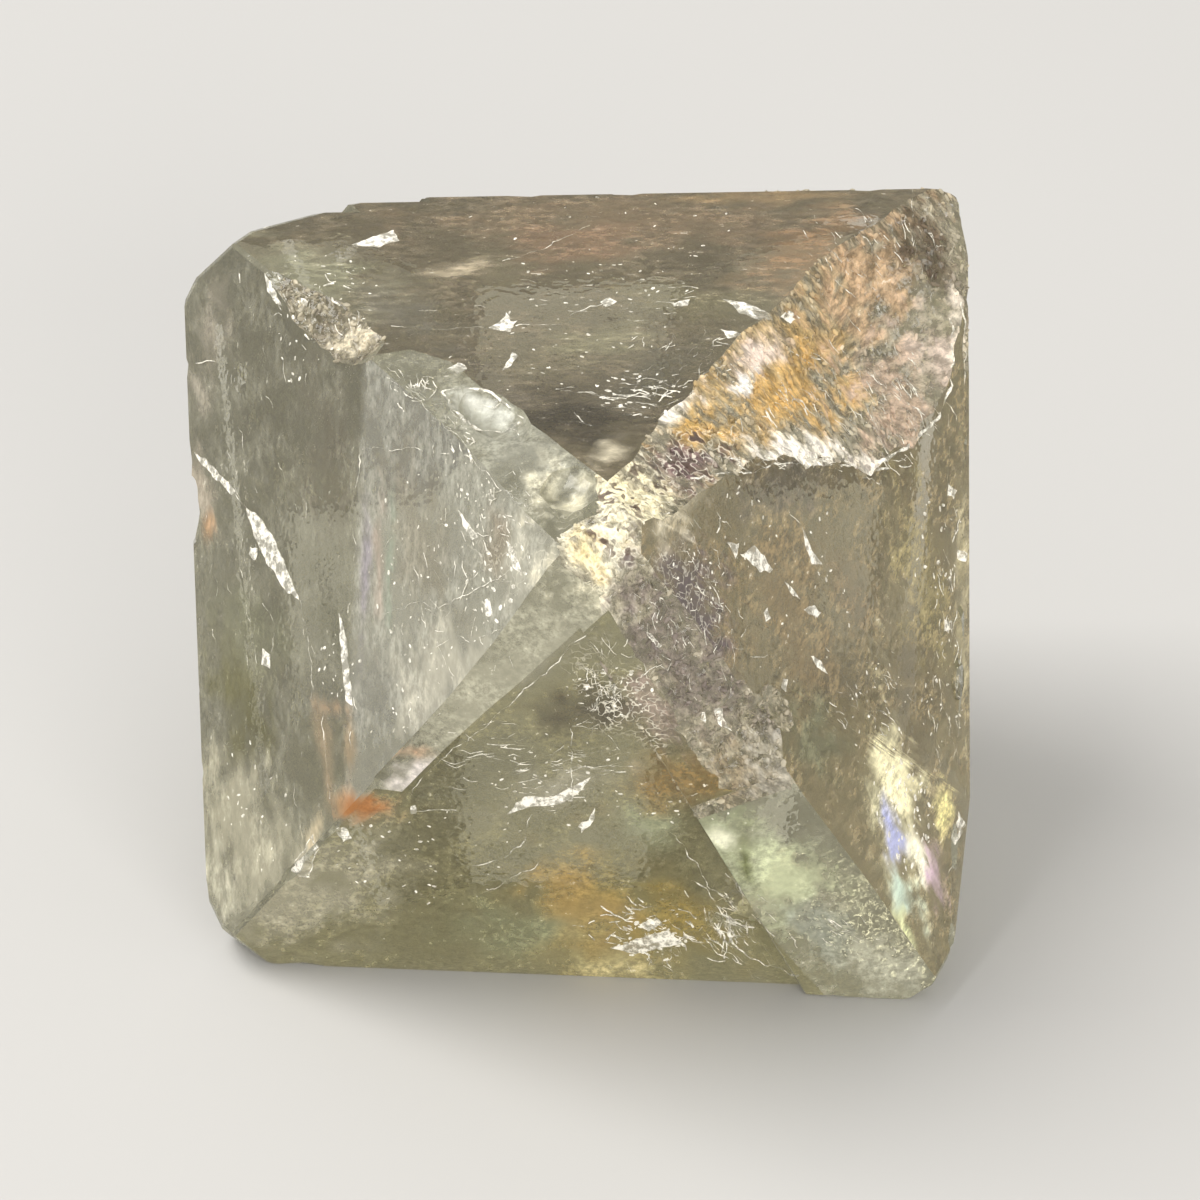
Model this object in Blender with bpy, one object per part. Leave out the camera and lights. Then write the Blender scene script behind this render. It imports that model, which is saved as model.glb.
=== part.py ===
"""Cleaved fluorite octahedron, resting on one of its eight triangular faces.

The crystal is one natural solid. Its origin is the middle of the resting face, +Z is up, and the
corner called "nose" points to -Y. Six corners make the octahedron; broken ridges, chips, worn corners
and cleavage steps are then cut out of it. Every size below is in millimetres.
"""
from math import cos, pi, radians, sin, sqrt
from random import Random

import bmesh
import bpy
from mathutils import Matrix, Vector, noise

METRES_PER_MM = 0.001

# Driving dimensions
EDGE = 32.0
HEIGHT = EDGE * sqrt(2 / 3)  # between the resting face and the upper face parallel to it
CORNER_RADIUS = EDGE / sqrt(3)  # from the middle of a face to its corners
EDGE_WEAR = 0.14  # width of the worn strip along every edge
CUTTER_REACH = 9.0  # how far a rough cutter reaches outside the crystal

# Each corner: direction round the axis in degrees, level, and how far growth moved it in X and Y
CORNERS = {
    "upper_left": (150, HEIGHT, (-0.5, -0.4)),
    "upper_right": (30, HEIGHT, (0.1, 0.7)),
    "nose": (270, HEIGHT, (0.0, 0.1)),
    "lower_left": (210, 0.0, (0.6, 1.1)),
    "lower_right": (330, 0.0, (-1.3, -2.2)),
    "tail": (90, 0.0, (0.2, 0.0)),
}
SWELL_PLACE = 0.25  # the right side swells this share of the way up from the lower right corner
SWELL_WIDTH = 1.4

# Corners worn flat: corner, direction the flat faces, and its depth below the corner
WORN_CORNERS = [
    ("upper_left", (-0.90, 0.20, 0.42), 2.1),
    ("upper_left", (-0.62, 0.42, 0.66), 3.0),
    ("upper_left", (-0.30, 0.52, 0.80), 2.3),
    ("lower_left", (-0.90, -0.25, -0.36), 1.15),
    ("lower_left", (-0.60, -0.45, -0.66), 1.45),
    ("lower_right", (0.82, -0.30, -0.49), 1.10),
    ("lower_right", (0.56, -0.44, -0.70), 1.10),
    ("upper_right", (0.80, 0.35, 0.50), 0.45),
]

# Cleavage steps: corner, face that drops, how far, direction the step's wall faces, and how far the
# dropped part reaches from the corner
CLEAVAGE_STEPS = [
    ("upper_left", "back_upper", 1.25, (-0.82, -0.47, 0.33), 5.6),
    ("upper_left", "back_upper", 0.50, (-0.82, -0.47, 0.33), 8.4),
    ("tail", "back_right", 0.40, (0.00, 0.94, -0.33), 13.0),
    ("tail", "back_left", 0.30, (-0.25, 0.90, -0.35), 10.5),
]
LEDGE_DROP = 1.0  # how much lower the flaked part of the front face is, at the lower right corner
LEDGE_FOOT = 0.80  # where the ledge meets the bottom edge, as a share of that edge from the left
LEDGE_WALL = (-0.81, -0.30, -0.45)  # direction the ledge's wall faces

# Profiles of broken ridges. Each row: distance from the first corner, width lost on the first face,
# width lost on the second face, and how far the break is lifted clear of the ridge
UPPER_RIGHT_BREAK = [
    (-2.0, 1.2, 1.2, 1.2), (1.5, 1.2, 1.0, 0.7), (4.0, 1.7, 1.2, 0.0), (8.0, 2.3, 1.5, 0.0),
    (11.5, 2.3, 2.2, 0.0), (16.0, 2.6, 4.6, 0.0), (19.8, 2.5, 6.6, 0.0), (25.5, 2.5, 6.8, 0.0),
    (27.5, 2.1, 5.6, 0.0), (30.0, 1.7, 3.4, 0.0), (32.5, 1.2, 2.4, 0.0), (35.0, 1.2, 2.0, 0.0),
]
LOWER_RIGHT_ROUNDING = [
    (-2.0, 1.1, 1.4, 0.0), (3.0, 1.3, 1.6, 0.0), (8.0, 1.5, 1.9, 0.0), (12.0, 1.3, 2.2, 0.0),
    (15.0, 0.8, 2.4, 0.0), (16.5, 0.8, 1.2, 0.8),
]
LOWER_RIGHT_BEVEL = [
    (13.8, 0.5, 3.5, 1.6), (15.3, 0.6, 4.4, 0.0), (16.4, 0.5, 5.3, 0.0), (19.0, 0.5, 5.4, 0.0),
    (24.0, 0.5, 4.8, 0.0), (28.0, 0.3, 4.4, 0.0), (35.0, 0.3, 4.2, 0.0),
]
LOWER_RIGHT_CRUMBLE = [
    (9.0, 1.4, 1.9, 1.2), (10.8, 1.6, 2.2, 0.0), (13.6, 1.9, 2.4, -0.1), (15.6, 1.5, 1.9, 0.9),
]
UPPER_LEFT_BEVEL = [
    (14.0, 0.9, 0.2, 0.7), (15.2, 1.3, 0.15, 0.0), (16.6, 2.4, 0.15, 0.0), (20.0, 2.4, 0.3, 0.0),
    (23.0, 2.5, 0.5, 0.0), (27.0, 2.6, 1.1, 0.0), (35.0, 2.7, 1.5, 0.0),
]
UPPER_LEFT_CRUMBLE = [
    (5.5, 1.0, 1.0, 0.9), (8.0, 1.0, 0.9, 0.3), (11.5, 1.3, 1.2, 0.0), (14.5, 1.2, 0.9, 0.0),
    (16.0, 0.9, 0.7, 0.8),
]
LOWER_LEFT_BEVEL = [
    (12.9, 0.3, 0.9, 0.8), (13.9, 0.25, 1.35, 0.0), (18.0, 0.25, 1.4, 0.0), (21.0, 0.3, 1.7, 0.0),
    (25.0, 0.6, 2.0, 0.0), (28.0, 1.0, 2.1, 0.0), (35.0, 1.2, 2.3, 0.0),
]

# Each broken ridge: its two corners, its profile, height of its relief, size of its lumps, and the
# spacing of its points along the ridge
RIDGE_BREAKS = [
    ("nose", "upper_right", UPPER_RIGHT_BREAK, 0.20, 1.6, 0.62),
    ("nose", "lower_right", LOWER_RIGHT_ROUNDING, 0.09, 0.8, 0.60),
    ("nose", "lower_right", LOWER_RIGHT_BEVEL, 0.05, 4.0, 1.60),
    ("nose", "lower_right", LOWER_RIGHT_CRUMBLE, 0.18, 1.0, 0.60),
    ("upper_left", "nose", UPPER_LEFT_BEVEL, 0.03, 4.0, 1.60),
    ("upper_left", "nose", UPPER_LEFT_CRUMBLE, 0.18, 1.0, 0.60),
    ("lower_left", "nose", LOWER_LEFT_BEVEL, 0.03, 4.0, 1.60),
]
POINTS_ACROSS_BREAK = 15
BREAK_OVERSHOOT = 0.45  # how far past both faces a ridge break runs, as a share of its width

# Each broken corner: depth of the break, height of its relief, size of its lumps, points per side
BROKEN_CORNERS = {
    "nose": (2.2, 0.16, 0.9, 15),
    "tail": (6.4, 0.45, 3.2, 23),
}
CORNER_BREAK_SPREAD = 1.9  # half the break's width, as a multiple of its depth

# Shell-shaped chips: ridge ends, distance along the ridge, distances out onto its first and second
# face, how much the bowl faces the first face, then its length, width and depth
SHELL_CHIPS = [
    ("upper_left", "nose", 21.6, 1.75, 0.10, 0.75, 4.2, 2.2, 0.55),
    ("upper_left", "nose", 27.3, 1.60, 0.40, 0.65, 2.6, 2.2, 0.50),
    ("upper_left", "lower_left", 12.6, 0.0, 0.5, 0.45, 3.4, 2.0, 0.60),
    ("nose", "lower_right", 13.4, 2.2, 0.0, 1.00, 2.6, 1.3, 0.35),
    ("upper_right", "lower_right", 20.5, 0.0, 0.0, 0.60, 1.8, 1.3, 0.35),
    ("upper_left", "tail", 14.0, 0.5, 0.0, 0.70, 4.4, 2.6, 0.80),
    ("upper_right", "tail", 9.0, 0.0, 0.6, 0.40, 3.8, 2.2, 0.70),
]
SHELL_RIPPLE = 0.05  # height of the ripples in a bowl, as a share of its size
SHELL_RIPPLE_RATE = 9.0

# Small nicks along every edge
NICK_SEED = 7
NICK_SPACING = 3.4
NICK_JITTER = 0.3  # as a share of the spacing
NICK_RADIUS = (0.22, 0.55)
NICK_STRETCH = (1.0, 2.4)
NICK_LUMPINESS = 0.35
NICK_STANDOFF = 0.45  # how far out a nick's middle lies, as a share of its radius


def regular_corner(turn, level, lean):
    """A corner of the regular octahedron, moved sideways by its lean."""
    side = Vector((cos(radians(turn)), sin(radians(turn)), 0.0)) * CORNER_RADIUS
    return side + Vector((*lean, level))


CORNER = {name: regular_corner(*place) for name, place in CORNERS.items()}
CENTRE = Vector((0.0, 0.0, HEIGHT / 2))
FACES = {
    "upper": ("upper_left", "upper_right", "nose"),
    "left": ("upper_left", "nose", "lower_left"),
    "right": ("upper_right", "nose", "lower_right"),
    "front": ("nose", "lower_left", "lower_right"),
    "resting": ("lower_left", "lower_right", "tail"),
    "back_left": ("upper_left", "lower_left", "tail"),
    "back_right": ("upper_right", "lower_right", "tail"),
    "back_upper": ("upper_left", "upper_right", "tail"),
}


def face_normal(face):
    """Outward normal of one of the eight faces."""
    a, b, c = (CORNER[name] for name in FACES[face])
    normal = (b - a).cross(c - a).normalized()
    return normal if normal.dot(a - CENTRE) > 0 else -normal


def edge_faces(start, end):
    """The two faces that meet along the edge between two corners."""
    return [face for face, corners in FACES.items() if start in corners and end in corners]


def ridge_frame(start, end):
    """Direction along a ridge, outward from it, its two normals, and the ways onto its two faces."""
    normals = [face_normal(face) for face in edge_faces(start, end)]
    along = (CORNER[end] - CORNER[start]).normalized()
    outward = (normals[0] + normals[1]).normalized()
    onto = [normal.cross(along) for normal in normals]
    onto = [direction if direction.dot(outward) < 0 else -direction for direction in onto]
    return along, outward, normals, onto


def make_object(name, mesh_data):
    """Turn a bmesh in millimetres into a linked object in metres, its faces outward."""
    bmesh.ops.recalc_face_normals(mesh_data, faces=mesh_data.faces)
    if mesh_data.calc_volume(signed=True) < 0:
        bmesh.ops.reverse_faces(mesh_data, faces=mesh_data.faces)
    bmesh.ops.scale(mesh_data, vec=[METRES_PER_MM] * 3, verts=mesh_data.verts)
    mesh = bpy.data.meshes.new(name)
    mesh_data.to_mesh(mesh)
    mesh_data.free()
    item = bpy.data.objects.new(name, mesh)
    bpy.context.scene.collection.objects.link(item)
    return item


def make_cutter(name, mesh_data):
    """A cutting solid: drawn as wire and never rendered."""
    cutter = make_object(name, mesh_data)
    cutter.hide_render = True
    cutter.display_type = "WIRE"
    return cutter


def slice_off(mesh_data, point, normal, **sides):
    """Cut a convex solid at a plane, drop the side that is named, and close the cut."""
    whole = mesh_data.verts[:] + mesh_data.edges[:] + mesh_data.faces[:]
    cut = bmesh.ops.bisect_plane(mesh_data, geom=whole, plane_co=point, plane_no=normal, **sides)
    rim = [item for item in cut["geom_cut"] if isinstance(item, bmesh.types.BMEdge)]
    bmesh.ops.holes_fill(mesh_data, edges=rim)


def sheet_cutter(name, rows, outward):
    """A slab whose inner side is a grid of points and whose outer side lies clear of the crystal."""
    mesh_data = bmesh.new()
    low = [[mesh_data.verts.new(point) for point in row] for row in rows]
    high = [[mesh_data.verts.new(point + outward * CUTTER_REACH) for point in row] for row in rows]
    last_row, last = len(rows) - 1, len(rows[0]) - 1
    for i in range(last_row):
        for j in range(last):
            mesh_data.faces.new((low[i][j], low[i + 1][j], low[i + 1][j + 1], low[i][j + 1]))
            mesh_data.faces.new((high[i][j], high[i][j + 1], high[i + 1][j + 1], high[i + 1][j]))
    for i in range(last_row):
        for j in (0, last):
            mesh_data.faces.new((low[i][j], low[i + 1][j], high[i + 1][j], high[i][j]))
    for j in range(last):
        for i in (0, last_row):
            mesh_data.faces.new((low[i][j], low[i][j + 1], high[i][j + 1], high[i][j]))
    return make_cutter(name, mesh_data)


def roughness_at(point, grain):
    """Broken-surface relief, about -1 to 1, with lumps the size of the grain."""
    return noise.fractal(point / grain, 0.7, 2.1, 4)


def interpolate(profile, distance):
    """Values of a piecewise straight profile at a distance along it."""
    for before, after in zip(profile, profile[1:]):
        if distance <= after[0]:
            share = (distance - before[0]) / (after[0] - before[0])
            return [a + (b - a) * share for a, b in zip(before[1:], after[1:])]
    return profile[-1][1:]


def ridge_break(name, start, end, profile, relief, grain, spacing):
    """A rough sheet laid across a ridge, cutting it away as the profile says."""
    along, outward, _, onto = ridge_frame(start, end)
    length = profile[-1][0] - profile[0][0]
    count = max(2, round(length / spacing))
    rows = []
    for i in range(count + 1):
        distance = profile[0][0] + length * i / count
        first, second, lift = interpolate(profile, distance)
        a, b = onto[0] * first, onto[1] * second
        row = []
        for j in range(POINTS_ACROSS_BREAK):
            share = (1 + 2 * BREAK_OVERSHOOT) * j / (POINTS_ACROSS_BREAK - 1) - BREAK_OVERSHOOT
            point = CORNER[start] + along * distance + a + (b - a) * share
            row.append(point + outward * (lift + relief * roughness_at(point, grain)))
        rows.append(row)
    return sheet_cutter(name, rows, outward)


def corner_break(name, corner, depth, relief, grain, points):
    """A rough sheet that takes the tip off a corner, square to the line through the centre."""
    outward = (CORNER[corner] - CENTRE).normalized()
    u = outward.orthogonal().normalized()
    v = outward.cross(u)
    middle = CORNER[corner] - outward * depth
    shares = [2 * i / (points - 1) - 1 for i in range(points)]
    rows = []
    for a in shares:
        flat = [middle + (u * a + v * b) * depth * CORNER_BREAK_SPREAD for b in shares]
        rows.append([point + outward * relief * roughness_at(point, grain) for point in flat])
    return sheet_cutter(name, rows, outward)


def shell_chip(name, start, end, distance, first, second, lean, length, width, depth):
    """A long shallow bowl, with faint ripples, bitten out of an edge."""
    along, _, normals, onto = ridge_frame(start, end)
    facing = (normals[0] * lean + normals[1] * (1 - lean)).normalized()
    turn = Matrix((along, facing.cross(along), facing)).transposed()
    centre = CORNER[start] + along * distance + onto[0] * first + onto[1] * second
    mesh_data = bmesh.new()
    bmesh.ops.create_icosphere(mesh_data, subdivisions=3, radius=1.0)
    for vertex in mesh_data.verts:
        waves = sin(SHELL_RIPPLE_RATE * vertex.co.x) + noise.noise(vertex.co * 2 + centre)
        size = Vector((length / 2, width / 2, depth)) * (1 + SHELL_RIPPLE * waves)
        vertex.co = centre + turn @ (vertex.co * size)
    return make_cutter(name, mesh_data)


def nick_ring(name):
    """Many small angular nicks, scattered along all twelve edges as one cutter."""
    dice = Random(NICK_SEED)
    mesh_data = bmesh.new()
    names = list(CORNER)
    edges = [(a, b) for i, a in enumerate(names) for b in names[i + 1:] if len(edge_faces(a, b)) == 2]
    for start, end in edges:
        along, outward, _, _ = ridge_frame(start, end)
        length = (CORNER[end] - CORNER[start]).length
        count = int(length / NICK_SPACING)
        for i in range(1, count):
            place = CORNER[start] + along * length * (i + dice.uniform(-NICK_JITTER, NICK_JITTER)) / count
            radius = dice.uniform(*NICK_RADIUS)
            stretch = dice.uniform(*NICK_STRETCH)
            spin = Matrix.Rotation(dice.uniform(0, 2 * pi), 3, along)
            blob = bmesh.ops.create_icosphere(mesh_data, subdivisions=1, radius=radius)
            for vertex in blob["verts"]:
                lump = 1 + NICK_LUMPINESS * noise.noise(vertex.co / radius + place)
                offset = (vertex.co + along * vertex.co.dot(along) * stretch) * lump
                vertex.co = place + spin @ offset + outward * radius * NICK_STANDOFF
    return make_cutter(name, mesh_data)


def wedge(name, planes):
    """A convex block: a big cube kept only where it lies outside every given plane."""
    mesh_data = bmesh.new()
    bmesh.ops.create_cube(mesh_data, size=4 * EDGE)
    for point, normal in planes:
        slice_off(mesh_data, point, normal, clear_inner=True)
    return make_cutter(name, mesh_data)


def cleavage_step(name, corner, face, drop, wall, reach):
    """Lower one face by a step that ends in a wall, a set distance away from a corner."""
    normal, wall = face_normal(face), Vector(wall).normalized()
    return wedge(name, [(CORNER[corner] - normal * drop, normal), (CORNER[corner] - wall * reach, wall)])


def front_ledge(name):
    """Take a tapering flake off the front face, up to a ledge short of the lower right corner."""
    nose, left = CORNER["nose"], CORNER["lower_left"]
    corner = CORNER["lower_right"] + Vector((0.0, LEDGE_DROP, 0.0))
    flake = (left - nose).cross(corner - nose).normalized()
    flake = flake if flake.y < 0 else -flake
    return wedge(name, [(nose, flake), (left.lerp(corner, LEDGE_FOOT), Vector(LEDGE_WALL).normalized())])


def swell_point():
    """Where the right side stands a little proud, low on the edge up from the lower right corner."""
    low, high = CORNER["lower_right"], CORNER["upper_right"]
    sideways = face_normal("right").cross(high - low).normalized()
    sideways = sideways if sideways.x > 0 else -sideways
    return low.lerp(high, SWELL_PLACE) + sideways * SWELL_WIDTH


def octahedron():
    """The whole crystal before it was chipped, with its corners worn to small flats."""
    mesh_data = bmesh.new()
    for corner in [*CORNER.values(), swell_point()]:
        mesh_data.verts.new(corner)
    bmesh.ops.convex_hull(mesh_data, input=mesh_data.verts)
    for corner, direction, depth in WORN_CORNERS:
        outward = Vector(direction).normalized()
        slice_off(mesh_data, CORNER[corner] - outward * depth, outward, clear_outer=True)
    return make_object("fluorite_crystal", mesh_data)


def fluorite():
    """Pale green, glassy and clear."""
    material = bpy.data.materials.new("fluorite")
    material.use_nodes = True
    shader = material.node_tree.nodes["Principled BSDF"]
    shader.inputs["Base Color"].default_value = (0.50, 0.53, 0.41, 1.0)
    shader.inputs["Roughness"].default_value = 0.12
    shader.inputs["Metallic"].default_value = 0.0
    return material


def wear_edges(crystal):
    """Round every sharp edge to a narrow flat."""
    wear = crystal.modifiers.new("edge_wear", "BEVEL")
    wear.width = EDGE_WEAR * METRES_PER_MM
    wear.segments = 1
    wear.limit_method = "ANGLE"


def subtract(crystal, cutters):
    """Cut every cutter out of the crystal at once."""
    group = bpy.data.collections.new("cutters")
    for cutter in cutters:
        group.objects.link(cutter)
    cut = crystal.modifiers.new("damage", "BOOLEAN")
    cut.operation = "DIFFERENCE"
    cut.solver = "EXACT"
    cut.operand_type = "COLLECTION"
    cut.collection = group


def build():
    for item in list(bpy.data.objects):
        bpy.data.objects.remove(item)
    crystal = octahedron()
    crystal.data.materials.append(fluorite())
    wear_edges(crystal)
    cutters = [front_ledge("front_ledge"), nick_ring("edge_nicks")]
    cutters += [cleavage_step(f"step_{i}", *step) for i, step in enumerate(CLEAVAGE_STEPS)]
    cutters += [ridge_break(f"ridge_break_{i}", *ridge) for i, ridge in enumerate(RIDGE_BREAKS)]
    cutters += [corner_break(f"{corner}_break", corner, *size) for corner, size in BROKEN_CORNERS.items()]
    cutters += [shell_chip(f"shell_chip_{i}", *chip) for i, chip in enumerate(SHELL_CHIPS)]
    subtract(crystal, cutters)


build()
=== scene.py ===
from math import cos, pi, radians, sin, sqrt
from random import Random

import bmesh
import bpy
import numpy as np
from mathutils import Matrix, Vector, kdtree, noise
from mathutils.bvhtree import BVHTree


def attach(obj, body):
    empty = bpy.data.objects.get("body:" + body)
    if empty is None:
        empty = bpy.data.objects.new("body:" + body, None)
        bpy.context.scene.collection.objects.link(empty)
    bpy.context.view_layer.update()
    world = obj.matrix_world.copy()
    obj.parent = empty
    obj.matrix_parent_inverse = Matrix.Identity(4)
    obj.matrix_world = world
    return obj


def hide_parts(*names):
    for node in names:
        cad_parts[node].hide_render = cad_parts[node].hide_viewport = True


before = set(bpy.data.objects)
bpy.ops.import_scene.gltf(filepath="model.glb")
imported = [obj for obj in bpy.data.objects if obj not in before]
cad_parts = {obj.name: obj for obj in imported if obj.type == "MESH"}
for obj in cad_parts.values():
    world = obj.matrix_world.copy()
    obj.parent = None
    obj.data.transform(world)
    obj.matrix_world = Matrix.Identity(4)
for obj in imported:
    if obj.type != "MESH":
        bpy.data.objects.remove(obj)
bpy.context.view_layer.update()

MM = 0.001  # every length below is in millimetres until it goes into a mesh


# Camera, floor and light: a long lens looking a third of the way down onto the corner called the nose,
# a pale matt table, and soft light from a bright room and one broad lamp.

LENS_PIXELS = 5862.7  # focal length, in pixels of the 1200 pixel frame
FRAME_PIXELS = 1200
SENSOR = 36.0
CAMERA_DISTANCE = 240.0
CAMERA_AIM = Vector((0.0, 0.0, 13.06))
CAMERA_TURN, CAMERA_RISE, CAMERA_ROLL = radians(-2.337), radians(31.755), radians(1.019)
AIM_SHIFT = (-16.9, -16.6)  # pixels by which the aim sits left of and above the frame's middle

towards_camera = Vector((sin(CAMERA_TURN) * cos(CAMERA_RISE), -cos(CAMERA_TURN) * cos(CAMERA_RISE),
                         sin(CAMERA_RISE)))
level_right = Vector((cos(CAMERA_TURN), sin(CAMERA_TURN), 0.0))
level_up = towards_camera.cross(level_right)
camera_right = level_right * cos(CAMERA_ROLL) + level_up * sin(CAMERA_ROLL)
camera_up = level_up * cos(CAMERA_ROLL) - level_right * sin(CAMERA_ROLL)
camera_place = CAMERA_AIM + towards_camera * CAMERA_DISTANCE
camera_place -= (camera_right * AIM_SHIFT[0] - camera_up * AIM_SHIFT[1]) * CAMERA_DISTANCE / LENS_PIXELS


def linked(name, data):
    """A new object holding the data, in the scene."""
    item = bpy.data.objects.new(name, data)
    bpy.context.scene.collection.objects.link(item)
    return item


camera_data = bpy.data.cameras.new("camera")
camera_data.sensor_width = SENSOR
camera_data.lens = SENSOR * LENS_PIXELS / FRAME_PIXELS
camera_data.clip_start = 0.01
camera = linked("camera", camera_data)
camera_axes = Matrix((camera_right, camera_up, towards_camera)).transposed()
camera.matrix_world = Matrix.Translation(camera_place * MM) @ camera_axes.to_4x4()
bpy.context.scene.camera = camera


def sight_line(x, y):
    """The line from the camera through a pixel of its frame: a point on it and its direction."""
    across = camera_right * ((x - FRAME_PIXELS / 2) / LENS_PIXELS)
    down = camera_up * ((y - FRAME_PIXELS / 2) / LENS_PIXELS)
    return camera_place, (across - down - towards_camera).normalized()


FLOOR_HALF, FLOOR_DEPTH = 1.5, -0.00002  # metres: half its side, and just low enough to clear the crystal


def add_floor():
    """A pale matt table top under the crystal."""
    mesh = bpy.data.meshes.new("floor")
    corners = [(x * FLOOR_HALF, y * FLOOR_HALF, FLOOR_DEPTH) for x, y in ((-1, -1), (1, -1), (1, 1), (-1, 1))]
    mesh.from_pydata(corners, [], [(0, 1, 2, 3)])
    material = bpy.data.materials.new("floor")
    material.use_nodes = True
    shader = material.node_tree.nodes["Principled BSDF"]
    shader.inputs["Base Color"].default_value = (0.56, 0.555, 0.545, 1.0)
    shader.inputs["Roughness"].default_value = 0.6
    shader.inputs["Specular IOR Level"].default_value = 0.1
    mesh.materials.append(material)
    linked("floor", mesh)


def add_lamp(name, place, size, watts, colour):
    """A broad square lamp aimed at the crystal, placed in metres."""
    data = bpy.data.lights.new(name, "AREA")
    data.shape, data.size, data.energy, data.color = "SQUARE", size, watts, colour
    lamp = linked(name, data)
    lamp.location = place
    lamp.rotation_euler = (CAMERA_AIM * MM - Vector(place)).to_track_quat("-Z", "Y").to_euler()


add_floor()
add_lamp("window", (-0.35, 0.05, 0.55), 0.40, 3.6, (1.0, 0.98, 0.95))
add_lamp("front_card", (0.25, -0.75, 0.22), 0.50, 4.5, (1.0, 0.97, 0.92))
world = bpy.data.worlds.new("room")
world.use_nodes = True
world.node_tree.nodes["Background"].inputs["Color"].default_value = (0.66, 0.65, 0.63, 1.0)
bpy.context.scene.world = world
bpy.context.scene.view_settings.view_transform = "Standard"


# The crystal: one cleaved octahedron of clear grey-green fluorite, a natural solid with nothing fixed to
# it. Its broken ridges are split finely, so that their grain is real relief, and its haze and stains, with
# some painted shade and painted rainbow sheen, are painted on the corners of its triangles, where its one
# clear material reads them.

EDGE = 32.0
HEIGHT = EDGE * sqrt(2 / 3)
CORNER_RADIUS = EDGE / sqrt(3)
CORNERS = {
    "upper_left": (150, HEIGHT, (-0.5, -0.4)),
    "upper_right": (30, HEIGHT, (0.1, 0.7)),
    "nose": (270, HEIGHT, (0.0, 0.1)),
    "lower_left": (210, 0.0, (0.6, 1.1)),
    "lower_right": (330, 0.0, (-1.3, -2.2)),
    "tail": (90, 0.0, (0.2, 0.0)),
}


def regular_corner(turn, level, lean):
    """A corner of the regular octahedron, moved sideways by its lean."""
    side = Vector((cos(radians(turn)), sin(radians(turn)), 0.0)) * CORNER_RADIUS
    return side + Vector((*lean, level))


CORNER = {name: regular_corner(*place) for name, place in CORNERS.items()}
CENTRE = Vector((0.0, 0.0, HEIGHT / 2))
FACES = {
    "upper": ("upper_left", "upper_right", "nose"),
    "left": ("upper_left", "nose", "lower_left"),
    "right": ("upper_right", "nose", "lower_right"),
    "front": ("nose", "lower_left", "lower_right"),
    "resting": ("lower_left", "lower_right", "tail"),
    "back_left": ("upper_left", "lower_left", "tail"),
    "back_right": ("upper_right", "lower_right", "tail"),
    "back_upper": ("upper_left", "upper_right", "tail"),
}


def plane_through(a, b, c):
    """Outward normal of a plane and its distance from the origin."""
    normal = (b - a).cross(c - a).normalized()
    normal = normal if normal.dot(a - CENTRE) > 0 else -normal
    return normal, normal.dot(a)


PLANE = {face: plane_through(*(CORNER[name] for name in names)) for face, names in FACES.items()}


def on_face(face, x, y):
    """The point seen at a pixel of the frame on the plane of a face."""
    normal, distance = PLANE[face]
    start, direction = sight_line(x, y)
    return start + direction * ((distance - normal.dot(start)) / normal.dot(direction))


SWELL = (0.25, 1.4)  # the right side swells this share of the way up from its low corner, and this far
LEDGE_DROP = 1.0  # the front face's flaked part lies this much lower at the lower right corner


def split_planes():
    """Planes of the faces that are not quite one plane: the swollen sides and the flaked front."""
    low, high, nose, tail = (CORNER[name] for name in ("lower_right", "upper_right", "nose", "tail"))
    sideways = PLANE["right"][0].cross(high - low).normalized()
    sideways = sideways if sideways.x > 0 else -sideways
    swell = low.lerp(high, SWELL[0]) + sideways * SWELL[1]
    lowered = low + Vector((0.0, LEDGE_DROP, 0.0))
    return {
        "right": [plane_through(high, nose, swell), plane_through(nose, low, swell)],
        "back_right": [plane_through(high, tail, swell), plane_through(tail, low, swell)],
        "front": [plane_through(nose, CORNER["lower_left"], lowered)],
    }


SPLIT_PLANES = split_planes()
SKINS = list(FACES) + ["broken", "bevel", "tail"]  # kinds of surface, by number: the faces, then the breaks
FLAT_TOLERANCE = 0.004
RIDGE_BREAKS = {  # ridge ends, and the stretch that is broken rough; the rest is a clean bevel
    ("nose", "upper_right"): (-2.0, 40.0),
    ("nose", "lower_right"): (-2.0, 16.2),
    ("upper_left", "nose"): (8.0, 14.5),
    ("lower_left", "nose"): (0.0, 0.0),
}
RIDGE_REACH, RIDGE_OVERRUN = 7.5, 3.0  # how far a break can lie from its ridge, and past its ends
NOSE_PATCH, TAIL_PATCH = 2.9, 12.0  # radius of the rough patches round these corners


def face_of(points):
    """The face that a flat triangle lies on, or nothing."""
    for name in FACES:
        for normal, distance in [PLANE[name]] + SPLIT_PLANES.get(name, []):
            if all(abs(normal.dot(p) - distance) < FLAT_TOLERANCE for p in points):
                return name
    return None


def break_kind(place):
    """Whether a broken surface is rough, a clean bevel or the lost tail; nothing away from all of them."""
    if (place - CORNER["tail"]).length < TAIL_PATCH:
        return "tail"
    if (place - CORNER["nose"]).length < NOSE_PATCH:
        return "broken"
    nearest, kind = RIDGE_REACH, None
    for (start, end), (low, high) in RIDGE_BREAKS.items():
        along = (CORNER[end] - CORNER[start]).normalized()
        offset = place - CORNER[start]
        distance = offset.dot(along)
        away = (offset - along * distance).length
        if away < nearest and -RIDGE_OVERRUN < distance < EDGE + RIDGE_OVERRUN:
            nearest, kind = away, "broken" if low < distance < high else "bevel"
    return kind


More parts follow.
